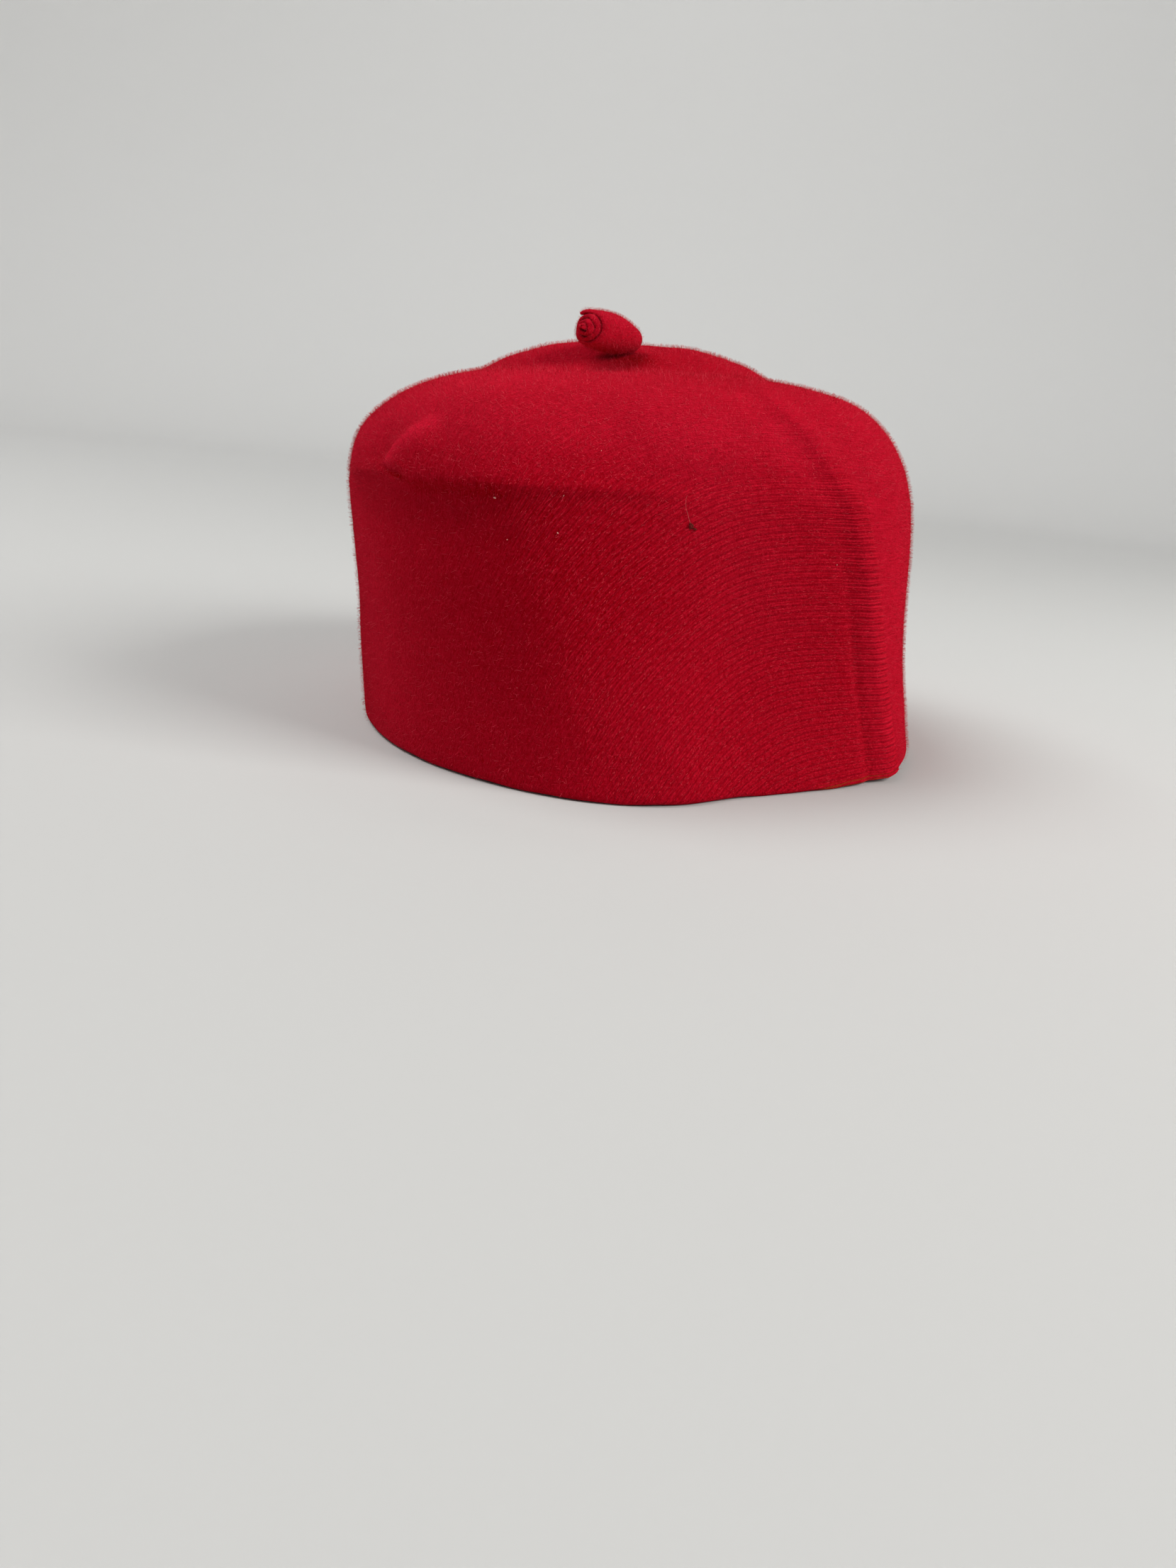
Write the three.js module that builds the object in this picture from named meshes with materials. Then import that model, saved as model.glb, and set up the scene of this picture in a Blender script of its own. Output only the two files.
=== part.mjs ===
// A felted knitted cap: one hollow body of red wool felt, and a small rolled strip sewn to its crown.
// Millimetres and degrees, +Z up. The rim lies on z = 0 and the pressed front crease faces -Y.
// A turn of 0 is the crease, and it grows towards +X, so the pressed flat face lies at turns below 0.

import * as THREE from 'three';
import { mergeVertices } from 'three/addons/utils/BufferGeometryUtils.js';

const FELT_THICKNESS = 2.4;
const OVAL = 0.05; // share by which each ring is wider and shorter than a circle
const SEAT_GAP = 0.35;
const FELT_COLOUR = 0xb01020;

/** Rows of values as records, with the column names in their order. */
const table = (columns, rows) =>
  rows.map((row) => Object.fromEntries(columns.split(' ').map((name, i) => [name, row[i]])));

// The rings of the outer surface, from the rim up to the middle of the crown.
// height and radius are the ring's mean ones, lift is how much higher its front lies than its middle,
// back and side move its centre towards +Y and +X, flat is the depth of the pressed face beside the
// crease, drift is the turn that the crease has wandered by there, dip is how far the surface sinks
// along the crease, and rows is the number of mesh rows up to the next ring.
const RINGS = table('name height radius lift back side flat drift dip rows', [
  ['rim', 0, 93.4, 0, -4.2, 0, 10, 0, 0, 4],
  ['wall', 40, 91.8, 0, 2.7, 0, 14, -5.5, 0, 4],
  ['fold', 72, 91.6, 5.4, 7.2, 0, 13, -13.5, 3, 4],
  ['turn', 81, 90.2, 6, 9, 0, 12, -17, 5, 3],
  ['round', 90, 86.1, 6.5, 10.9, 0, 11, -20, 7, 3],
  ['shoulder', 98, 77, 7, 12.4, -1, 10, -23, 8, 3],
  ['slope', 104.4, 62.5, 5.2, 15.6, 2, 8, -24, 4, 3],
  ['foot', 107.3, 51, 3.4, 17.3, 5.5, 8, -24, 1, 3],
  ['rise', 113, 39.2, 2.4, 18.1, 7, 9, -24, 0, 3],
  ['dome', 117.2, 22.7, 1.2, 18.5, 7.7, 5, -24, 0, 2],
  ['brow', 118, 10, 0, 18.5, 7.7, 0, -24, 0, 1],
  ['apex', 118.2, 0, 0, 18.5, 7.7, 0, -24, 0, 0],
]);

// The pressed face between the temple and the crease, and the sunk strip along the crease.
const FLAT_FACE = { from: -77, to: -5, softEnd: 0.45 };
const DIP = { turn: -6, halfWidth: 18 };

// Mesh columns: each sector of turns is cut into equal steps, finest beside the crease.
const SECTORS = [
  { from: -180, to: -116, columns: 9 },
  { from: -116, to: -70, columns: 12 },
  { from: -70, to: -18, columns: 8 },
  { from: -18, to: 10, columns: 16 },
  { from: 10, to: 180, columns: 24 },
];

// Distance of each ring from the rim, measured up the mean profile.
const STATIONS = RINGS.reduce((list, ring, i) => {
  const below = RINGS[i - 1];
  const step = i === 0 ? 0 : Math.hypot(ring.radius - below.radius, ring.height - below.height);
  return [...list, (list[i - 1] ?? 0) + step];
}, []);
const stationOf = (name) => STATIONS[RINGS.findIndex((ring) => ring.name === name)];

// Soft ridges and grooves pressed into the felt, one row each, from one end to the other.
// up and toUp are stations, fade is the run over which the height dies away before the far end,
// and a negative height is a groove.
const BELOW_RIM = -20;
const FOLD = stationOf('fold');
const SHOULDER = stationOf('shoulder');
const FOOT = stationOf('foot');
const PRESSED_LINES = table('name turn up toTurn toUp fade height halfWidth', [
  ['crease rib', -1.5, BELOW_RIM, -3, FOOT, 45, 1.8, 5.5],
  ['crease groove', -10, BELOW_RIM, -8, SHOULDER, 25, -0.9, 5],
  ['wall fold', -110, FOLD + 5, -50, FOLD + 4, 36, 0.9, 4],
  ['wall hollow', -104, FOLD - 6, -52, FOLD - 7, 36, -0.8, 8],
  ['fold hollow', -106, FOLD + 13, -55, FOLD + 12, 40, -0.7, 5],
  ['crown pleat', -90, FOLD + 5, -75, FOLD + 21, 14, 1.3, 4],
]);

// The rolled strip on the crown. Its axis runs from the sewn foot to the free end.
const ROLL = {
  stripThickness: 1.15,
  windingGap: 0.35,
  coreRadius: 0.75,
  windings: 3.25,
  stepsPerWinding: 16,
  length: 21.5,
  lengthSteps: 7,
  wide: 1.05, // the roll is pressed a little wider
  tall: 0.94, // than it is tall
  footScale: 0.68, // size of the sewn foot against the middle
  footLength: 12, // length over which the roll narrows to its foot
  tipScale: 0.94, // size of the free end against the middle
  tipLength: 8, // length over which the roll narrows to its free end
  coreReach: 3, // how far the core stands out past the outer winding at the free end
  flapLift: 0.5, // how far the strip's loose outer end stands off
  flapTurn: 30, // place of that end round the roll, from straight up towards +Y
  heading: -95, // turn that the free end points to
  pitch: 1, // rise of the free end
  foot: { x: -19.4, y: 4.6 },
};

/** Smooth curve through the points (xs, ys) that never overshoots between two of them. */
function smoothCurve(xs, ys) {
  const spans = xs.slice(1).map((x, i) => x - xs[i]);
  const slopes = spans.map((span, i) => (ys[i + 1] - ys[i]) / span);
  const tangents = xs.map((_, i) => {
    if (i === 0) return slopes[0];
    if (i === spans.length) return slopes[i - 1];
    if (slopes[i - 1] * slopes[i] <= 0) return 0;
    const weightBelow = 2 * spans[i] + spans[i - 1];
    const weightAbove = spans[i] + 2 * spans[i - 1];
    return (weightBelow + weightAbove) / (weightBelow / slopes[i - 1] + weightAbove / slopes[i]);
  });
  return (x) => {
    const above = xs.findIndex((edge, i) => i > 0 && x <= edge);
    const i = above < 0 ? spans.length - 1 : above - 1;
    const u = (x - xs[i]) / spans[i];
    const bend = u * u * (3 - 2 * u);
    const start = ys[i] + (ys[i + 1] - ys[i]) * bend;
    return start + spans[i] * u * (1 - u) * (tangents[i] * (1 - u) - tangents[i + 1] * u);
  };
}

const column = (name) => smoothCurve(STATIONS, RINGS.map((ring) => ring[name]));
const PROFILE = Object.fromEntries(
  ['height', 'radius', 'lift', 'back', 'side', 'flat', 'drift', 'dip'].map((name) => [name, column(name)]),
);

const smoothStep = (share) => THREE.MathUtils.smoothstep(share, 0, 1);

/** Share of the pressed face's depth at a turn: none outside it, softest at the temple. */
function flatShare(turn) {
  const across = (2 * (turn - FLAT_FACE.from)) / (FLAT_FACE.to - FLAT_FACE.from) - 1;
  const arch = Math.max(0, 1 - across * across);
  return arch * smoothStep((across + 1) / (2 * FLAT_FACE.softEnd));
}

/** Point of the outer surface before the pressed lines. */
function plainPoint(turn, station) {
  const angle = THREE.MathUtils.degToRad(turn + PROFILE.drift(station));
  const sunk = PROFILE.dip(station) * Math.exp(-(((turn - DIP.turn) / DIP.halfWidth) ** 2));
  const oval = 1 - OVAL * Math.cos(2 * angle);
  const reach = PROFILE.radius(station) * oval - PROFILE.flat(station) * flatShare(turn) - sunk;
  return new THREE.Vector3(
    PROFILE.side(station) + reach * Math.sin(angle),
    PROFILE.back(station) - reach * Math.cos(angle),
    PROFILE.height(station) + PROFILE.lift(station) * Math.cos(angle),
  );
}

/** Outward normal of the plain surface; flat at the rim, so that the rim stays on the ground. */
function plainNormal(turn, station) {
  const stepTurn = 0.5;
  const stepStation = 0.5;
  const last = STATIONS.at(-1);
  if (station >= last) return new THREE.Vector3(0, 0, 1);
  const low = Math.max(0, station - stepStation);
  const high = Math.min(last, station + stepStation);
  const around = plainPoint(turn + stepTurn, station).sub(plainPoint(turn - stepTurn, station));
  const up = plainPoint(turn, high).sub(plainPoint(turn, low));
  const normal = around.cross(up);
  if (station === 0) normal.z = 0;
  return normal.normalize();
}

/** Height of one pressed line at a place on the surface, by its distance from the line. */
function lineHeight(line, turn, station) {
  const perDegree = THREE.MathUtils.degToRad(Math.max(PROFILE.radius(station), 1));
  const run = new THREE.Vector2((line.toTurn - line.turn) * perDegree, line.toUp - line.up);
  const place = new THREE.Vector2((turn - line.turn) * perDegree, station - line.up);
  const share = THREE.MathUtils.clamp(place.dot(run) / run.lengthSq(), 0, 1);
  const strength = smoothStep(((1 - share) * run.length()) / line.fade);
  const distance = place.distanceTo(run.multiplyScalar(share));
  return line.height * strength * Math.exp(-((distance / line.halfWidth) ** 2));
}

/** Point of the felt at a depth under its outer surface. */
function feltPoint(turn, station, depth) {
  const relief = PRESSED_LINES.reduce((sum, line) => sum + lineHeight(line, turn, station), 0);
  return plainPoint(turn, station).addScaledVector(plainNormal(turn, station), relief - depth);
}

/** Turns of the mesh columns. */
function columnTurns() {
  return SECTORS.flatMap(({ from, to, columns }) =>
    Array.from({ length: columns }, (_, i) => from + ((to - from) * i) / columns),
  );
}

/** Stations of the mesh rows, without the apex. */
function rowStations() {
  return RINGS.slice(0, -1).flatMap(({ rows }, i) =>
    Array.from({ length: rows }, (_, k) => STATIONS[i] + ((STATIONS[i + 1] - STATIONS[i]) * k) / rows),
  );
}

/** Closed hollow body of the cap: outer surface, inner surface and the rim between them. */
function capBodyGeometry() {
  const turns = columnTurns();
  const stations = rowStations();
  const apex = STATIONS.at(-1);
  const positions = [];
  const faces = [];
  const add = (point) => positions.push(...point.toArray()) / 3 - 1;

  const layers = [0, FELT_THICKNESS].map((depth) => ({
    rows: stations.map((station) => turns.map((turn) => add(feltPoint(turn, station, depth)))),
    top: add(feltPoint(0, apex, depth)),
  }));
  const quad = (a, b, c, d) => faces.push(a, b, c, a, c, d);

  turns.forEach((_, j) => {
    const k = (j + 1) % turns.length;
    const [outer, inner] = layers;
    for (let i = 0; i + 1 < stations.length; i += 1) {
      quad(outer.rows[i][j], outer.rows[i][k], outer.rows[i + 1][k], outer.rows[i + 1][j]);
      quad(inner.rows[i][k], inner.rows[i][j], inner.rows[i + 1][j], inner.rows[i + 1][k]);
    }
    faces.push(outer.rows.at(-1)[j], outer.rows.at(-1)[k], outer.top);
    faces.push(inner.rows.at(-1)[k], inner.rows.at(-1)[j], inner.top);
    quad(outer.rows[0][j], inner.rows[0][j], inner.rows[0][k], outer.rows[0][k]);
  });

  const geometry = new THREE.BufferGeometry();
  geometry.setAttribute('position', new THREE.Float32BufferAttribute(positions, 3));
  geometry.setIndex(faces);
  geometry.computeVertexNormals();
  return geometry;
}

/** Outline of the rolled strip along its axis: out on one side of the spiral, back on the other. */
function spiralOutline() {
  const steps = Math.round(ROLL.windings * ROLL.stepsPerWinding);
  const pitch = ROLL.stripThickness + ROLL.windingGap;
  const spiralPoint = (i, offset) => {
    const winding = (ROLL.windings * i) / steps;
    const loose = smoothStep((winding - ROLL.windings + 0.25) / 0.25) * ROLL.flapLift;
    const radius = ROLL.coreRadius + pitch * winding + loose + offset;
    const angle = THREE.MathUtils.degToRad(ROLL.flapTurn) + 2 * Math.PI * (winding - ROLL.windings);
    return new THREE.Vector2(radius * Math.cos(angle), radius * Math.sin(angle));
  };
  const indices = Array.from({ length: steps + 1 }, (_, i) => i);
  const outside = indices.map((i) => spiralPoint(i, ROLL.stripThickness / 2));
  const inside = indices.map((i) => spiralPoint(i, -ROLL.stripThickness / 2));
  return new THREE.Shape([...outside, ...inside.reverse()]);
}

/** The rolled strip along +Z, foot at the origin, narrow at both ends, its core standing out. */
function topRollGeometry() {
  const extruded = new THREE.ExtrudeGeometry(spiralOutline(), {
    depth: ROLL.length,
    steps: ROLL.lengthSteps,
    bevelEnabled: false,
  });
  extruded.deleteAttribute('normal');
  extruded.deleteAttribute('uv');
  const geometry = mergeVertices(extruded);
  const outerRadius = ROLL.coreRadius + (ROLL.stripThickness + ROLL.windingGap) * ROLL.windings;
  const place = geometry.getAttribute('position');
  const point = new THREE.Vector3();
  for (let i = 0; i < place.count; i += 1) {
    point.fromBufferAttribute(place, i);
    const share = point.z / ROLL.length;
    const fromFoot = Math.min(1, point.z / ROLL.footLength);
    const fromTip = Math.min(1, (ROLL.length - point.z) / ROLL.tipLength);
    const atFoot = THREE.MathUtils.lerp(ROLL.footScale, 1, Math.sin((fromFoot * Math.PI) / 2));
    const atTip = THREE.MathUtils.lerp(ROLL.tipScale, 1, Math.sin((fromTip * Math.PI) / 2));
    const narrowed = atFoot * atTip;
    const inwards = 1 - Math.hypot(point.x, point.y) / outerRadius;
    const reach = point.z + ROLL.coreReach * inwards * share;
    place.setXYZ(i, point.x * narrowed * ROLL.tall, point.y * narrowed * ROLL.wide, reach);
  }
  geometry.computeVertexNormals();
  return geometry;
}

/** Lowers a mesh until its lowest point over the ground mesh lies the seat gap above it. */
function seatOn(ground, mesh) {
  const ray = new THREE.Raycaster();
  const down = new THREE.Vector3(0, 0, -1);
  const place = mesh.geometry.getAttribute('position');
  const point = new THREE.Vector3();
  ground.updateMatrixWorld();
  mesh.updateMatrixWorld();
  let clearance = Infinity;
  for (let i = 0; i < place.count; i += 1) {
    point.fromBufferAttribute(place, i).applyMatrix4(mesh.matrixWorld);
    ray.set(point, down);
    const [hit] = ray.intersectObject(ground);
    if (hit) clearance = Math.min(clearance, hit.distance);
  }
  mesh.position.z -= clearance - SEAT_GAP;
}

const felt = () =>
  new THREE.MeshStandardMaterial({
    color: FELT_COLOUR,
    roughness: 0.95,
    metalness: 0,
    side: THREE.DoubleSide,
  });

const capBody = new THREE.Mesh(capBodyGeometry(), felt());
capBody.name = 'cap_body';

const topRoll = new THREE.Mesh(topRollGeometry(), felt());
topRoll.name = 'top_roll';
const headingAngle = THREE.MathUtils.degToRad(ROLL.heading);
const pitchAngle = THREE.MathUtils.degToRad(ROLL.pitch);
const axis = new THREE.Vector3(
  Math.sin(headingAngle) * Math.cos(pitchAngle),
  -Math.cos(headingAngle) * Math.cos(pitchAngle),
  Math.sin(pitchAngle),
);
topRoll.quaternion.setFromUnitVectors(new THREE.Vector3(0, 0, 1), axis);
topRoll.position.set(ROLL.foot.x, ROLL.foot.y, 2 * RINGS.at(-1).height);
seatOn(capBody, topRoll);

const cap = new THREE.Group();
cap.add(capBody, topRoll);

export default cap;
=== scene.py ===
"""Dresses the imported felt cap: fine felt shell, knitted ribs, nap fibres, rolled strip, lint and studio.

The classes work in millimetres and degrees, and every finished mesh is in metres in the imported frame.
A turn of 0 is the pressed crease and grows towards +X. A station is the distance from the rim, measured
up the cap's mean profile.
"""

import logging
import math
from dataclasses import dataclass, field
from enum import Enum
from typing import ClassVar, Mapping, Optional, Sequence, Union

import bpy
import numpy as np
from bpy.types import Material, Mesh, Node, NodeSocket, NodeTree, Object
from mathutils import Matrix, Vector


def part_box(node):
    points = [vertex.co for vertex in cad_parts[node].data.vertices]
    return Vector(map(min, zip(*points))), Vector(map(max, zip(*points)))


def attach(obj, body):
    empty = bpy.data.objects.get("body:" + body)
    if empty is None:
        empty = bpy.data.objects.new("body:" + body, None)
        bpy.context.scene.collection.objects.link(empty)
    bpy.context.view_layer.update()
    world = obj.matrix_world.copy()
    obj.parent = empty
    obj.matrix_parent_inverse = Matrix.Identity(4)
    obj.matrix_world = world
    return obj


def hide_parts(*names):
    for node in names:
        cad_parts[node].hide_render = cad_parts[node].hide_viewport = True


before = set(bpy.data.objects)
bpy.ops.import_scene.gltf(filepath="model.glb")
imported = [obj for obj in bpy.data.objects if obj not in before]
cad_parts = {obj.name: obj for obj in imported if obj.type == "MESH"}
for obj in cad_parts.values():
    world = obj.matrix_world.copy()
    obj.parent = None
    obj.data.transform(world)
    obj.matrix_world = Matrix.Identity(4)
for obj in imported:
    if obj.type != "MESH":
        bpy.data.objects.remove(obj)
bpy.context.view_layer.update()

LOG = logging.getLogger("felt_cap")
Array = np.ndarray
Colour = tuple[float, float, float, float]
Setting = Union[NodeSocket, float, int, str, Sequence[float], Material]

MM = 0.001
BODY = "root"

# Half the run, in millimetres or degrees, over which a slope is measured, and the shortest length divided by.
PROBE = 0.5
SHORTEST = 1e-9


def smooth_step(low: float, high: float, value: Array) -> Array:
    """Rises smoothly from 0 to 1 while a value goes from low to high.

    Args:
        low: value where the step starts.
        high: value where the step ends.
        value: values to place on the step.

    Returns:
        The step's height at each value.
    """
    share = np.clip((np.asarray(value, float) - low) / (high - low), 0.0, 1.0)
    return share * share * (3.0 - 2.0 * share)


def unit(directions: Array) -> Array:
    """Directions brought to a length of one."""
    return directions / np.maximum(np.linalg.norm(directions, axis=-1, keepdims=True), SHORTEST)


# The cap's form

@dataclass(frozen=True)
class Ring:
    """One ring of the outer surface, with the columns of the solid's own table."""

    name: str
    height: float
    radius: float
    lift: float
    back: float
    side: float
    flat: float
    drift: float
    dip: float


@dataclass(frozen=True)
class PressedLine:
    """A soft ridge or groove in the felt, from one end to the other.

    fade and start_fade are the runs over which it dies away at its far and near end. under_width is the
    half width on the side of the lower stations, where it differs.
    """

    name: str
    turn: float
    up: float
    to_turn: float
    to_up: float
    fade: float
    height: float
    half_width: float
    under_width: Optional[float] = None
    start_fade: float = 0.0


CAP_RINGS = (
    Ring("rim", 0.0, 93.4, 0.0, -4.2, 0.0, 10.0, 0.0, 0.0),
    Ring("wall", 40.0, 91.8, 0.0, 2.7, 0.0, 14.0, -5.5, 0.0),
    Ring("fold", 72.0, 91.6, 5.4, 7.2, 0.0, 13.0, -13.5, 3.0),
    Ring("turn", 81.0, 90.2, 6.0, 9.0, 0.0, 12.0, -17.0, 5.0),
    Ring("round", 90.0, 86.1, 6.5, 10.9, 0.0, 11.0, -20.0, 7.0),
    Ring("shoulder", 98.0, 77.0, 7.0, 12.4, -1.0, 10.0, -23.0, 8.0),
    Ring("slope", 104.4, 62.5, 5.2, 15.6, 2.0, 8.0, -24.0, 4.0),
    Ring("foot", 107.3, 51.0, 3.4, 17.3, 5.5, 8.0, -24.0, 1.0),
    Ring("rise", 113.0, 39.2, 2.4, 18.1, 7.0, 9.0, -24.0, 0.0),
    Ring("dome", 117.2, 22.7, 1.2, 18.5, 7.7, 5.0, -24.0, 0.0),
    Ring("brow", 118.0, 10.0, 0.0, 18.5, 7.7, 0.0, -24.0, 0.0),
    Ring("apex", 118.2, 0.0, 0.0, 18.5, 7.7, 0.0, -24.0, 0.0),
)


def ring_stations(rings: Sequence[Ring]) -> Array:
    """Distance of each ring from the rim.

    Args:
        rings: the rings from the rim up.

    Returns:
        One station for each ring, in millimetres.
    """
    heights = np.array([ring.height for ring in rings])
    radii = np.array([ring.radius for ring in rings])
    return np.concatenate([[0.0], np.cumsum(np.hypot(np.diff(radii), np.diff(heights)))])


STATIONS = ring_stations(CAP_RINGS)
STATION_OF = {ring.name: float(station) for ring, station in zip(CAP_RINGS, STATIONS)}
FOLD = STATION_OF["fold"]
SHOULDER = STATION_OF["shoulder"]
FOOT = STATION_OF["foot"]
APEX = STATION_OF["apex"]
BELOW_RIM = -20.0
UNDER_RIM = -1.0

# The solid's own lines, some of them lower here because the ribs and the nap lie over them.
PRESSED_LINES = (
    PressedLine("crease rib", -1.5, BELOW_RIM, -3.0, FOOT, 45.0, 0.9, 5.0),
    PressedLine("crease groove", -10.0, BELOW_RIM, -8.0, SHOULDER, 25.0, -0.4, 5.0),
    PressedLine("wall fold", -118.0, FOLD + 5.2, -50.0, FOLD + 4.0, 36.0, 0.9, 4.0, None, 30.0),
    PressedLine("wall hollow", -118.0, FOLD - 5.8, -52.0, FOLD - 7.0, 36.0, -0.8, 8.0, None, 22.0),
    PressedLine("crown pleat", -90.0, FOLD + 5.0, -75.0, FOLD + 21.0, 14.0, 0.8, 4.0, 9.0),
)

# Finer than the solid's.
FINE_LINES = (
    PressedLine("soft bend of the pressed face", -58.0, BELOW_RIM, -43.0, FOLD + 16.0, 24.0, 2.1, 15.0),
    PressedLine("left fold edge", -112.0, FOLD + 5.2, -87.0, FOLD + 5.6, 7.0, 1.2, 11.0, 1.3, 26.0),
    PressedLine("right fold edge", -90.5, FOLD + 3.4, -36.0, FOLD + 2.6, 34.0, 1.9, 11.0, 1.1, 7.0),
    PressedLine("notch under the pleat", -90.5, FOLD + 6.2, -84.0, FOLD + 3.8, 4.0, -1.3, 1.5),
    PressedLine("pleat edge", -88.5, FOLD + 7.5, -75.5, FOLD + 21.0, 13.0, 1.3, 1.9, 7.0),
    PressedLine("dent beside the pleat", -92.0, FOLD + 10.0, -87.0, FOLD + 22.0, 8.0, -0.5, 4.0),
    PressedLine("bottom of the groove", -10.0, BELOW_RIM, -9.0, FOLD - 4.0, 30.0, -0.7, 1.8),
)

# Lines of painted light and shade, not of height: a height above zero paints the felt paler as a highlight,
# and one below zero paints it deeper as shade.
PALE_LINES = (
    # Painted highlight along the pleat's ridge; the two lines below it are painted shade.
    PressedLine("painted highlight on the pleat", -88.5, FOLD + 7.5, -73.5, FOLD + 23.5, 13.0, 2.6, 2.1),
    PressedLine("shade in the notch", -90.0, FOLD + 5.4, -84.2, FOLD + 3.4, 4.0, -2.4, 1.0),
    PressedLine("shade under the fold", -84.5, FOLD + 2.2, -66.0, FOLD + 1.6, 8.0, -1.2, 1.6),
)


@dataclass(frozen=True)
class NapAndPaintedLightPatch:
    """A soft patch of painted light, where the felt is coloured paler, or of painted shade, deeper, where its
    share is below zero; on the crown it is partly a paler nap.
    """

    name: str
    turn: float
    station: float
    half_turn: float
    half_station: float
    share: float

    def at(self, turn: Array, station: Array) -> Array:
        """Share of the patch at each place."""
        around = ((turn - self.turn) / self.half_turn) ** 2
        return self.share * np.exp(-(around + ((station - self.station) / self.half_station) ** 2))


# Painted light where light falls on the crown, right of the face's bend, on the crease's flank, at the top of
# the groove, past the crease and on the left edges; painted shade left of the bend, on the darkest part of
# the wall and as the shadow under the roll. On the crown the paler patches are partly a paler nap.
NAP_AND_PAINTED_LIGHT_PATCHES = (
    NapAndPaintedLightPatch("crown on the left", -84.0, 96.0, 16.0, 13.0, 1.1),
    NapAndPaintedLightPatch("crown on the right", -31.0, 84.0, 12.0, 14.0, 1.2),
    NapAndPaintedLightPatch("wall right of its bend", -29.0, 60.0, 12.0, 18.0, 0.8),
    NapAndPaintedLightPatch("wall left of its bend", -60.0, 56.0, 12.0, 20.0, -0.7),
    NapAndPaintedLightPatch("flank of the crease", -4.0, 35.0, 4.4, 45.0, 1.3),
    NapAndPaintedLightPatch("painted shadow under the roll", -38.0, 139.0, 14.0, 7.0, -3.0),
    NapAndPaintedLightPatch("left end of the pressed face", -113.0, 50.0, 10.0, 60.0, 1.2),
    NapAndPaintedLightPatch("side past the crease", 14.0, 70.0, 16.0, 40.0, 0.5),
    NapAndPaintedLightPatch("shoulder on the left", -72.0, 116.0, 14.0, 9.0, 0.9),
    NapAndPaintedLightPatch("darkest part of the wall", -78.0, 40.0, 16.0, 40.0, -0.5),
    NapAndPaintedLightPatch("top of the groove", -11.0, 84.0, 5.0, 15.0, 1.2),
    NapAndPaintedLightPatch("left edge of the crown", -103.0, 88.0, 14.0, 12.0, 1.0),
)


@dataclass(frozen=True)
class Wave:
    """One slow wave in the felt: its height, its number round the cap, its run up the cap and its start."""

    height: float
    around: float
    per_station: float = 0.0
    start: float = 0.0

    def at(self, turn: Array, station: Array) -> Array:
        """Height of the wave at each place."""
        return self.height * np.sin(self.around * np.radians(turn) + self.per_station * station + self.start)


FELT_WAVES = (
    Wave(0.11, 3.0, 0.11, 0.7),
    Wave(0.09, 7.0, -0.17, 2.1),
    Wave(0.06, 13.0, 0.23),
)
RIM_WAVES = (
    Wave(0.08, 23.0),
    Wave(0.06, 41.0, 0.0, 1.0),
)


class SmoothCurve:
    """Smooth curve through a row of points that never overshoots between two of them."""

    def __init__(self, places: Array, values: Array) -> None:
        """Works out the curve's slope at each point.

        Args:
            places: rising places of the points.
            values: the curve's value at each place.
        """
        self.places = np.asarray(places, float)
        self.values = np.asarray(values, float)
        self.spans = np.diff(self.places)
        slopes = np.diff(self.values) / self.spans
        self.tangents = np.zeros_like(self.values)
        self.tangents[0] = slopes[0]
        self.tangents[-1] = slopes[-1]
        for i in range(1, len(slopes)):
            below = slopes[i - 1]
            above = slopes[i]
            if below * above > 0.0:
                weight_below = 2.0 * self.spans[i] + self.spans[i - 1]
                weight_above = self.spans[i] + 2.0 * self.spans[i - 1]
                total = weight_below + weight_above
                self.tangents[i] = total / (weight_below / below + weight_above / above)

    def __call__(self, place: Array) -> Array:
        """Value of the curve at each place.

        Args:
            place: places along the curve.

        Returns:
            One value for each place.
        """
        spot = np.asarray(place, float)
        i = np.clip(np.searchsorted(self.places, spot) - 1, 0, len(self.spans) - 1)
        u = (spot - self.places[i]) / self.spans[i]
        rise = (self.values[i + 1] - self.values[i]) * u * u * (3.0 - 2.0 * u)
        bend = self.tangents[i] * (1.0 - u) - self.tangents[i + 1] * u
        return self.values[i] + rise + self.spans[i] * u * (1.0 - u) * bend


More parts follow.
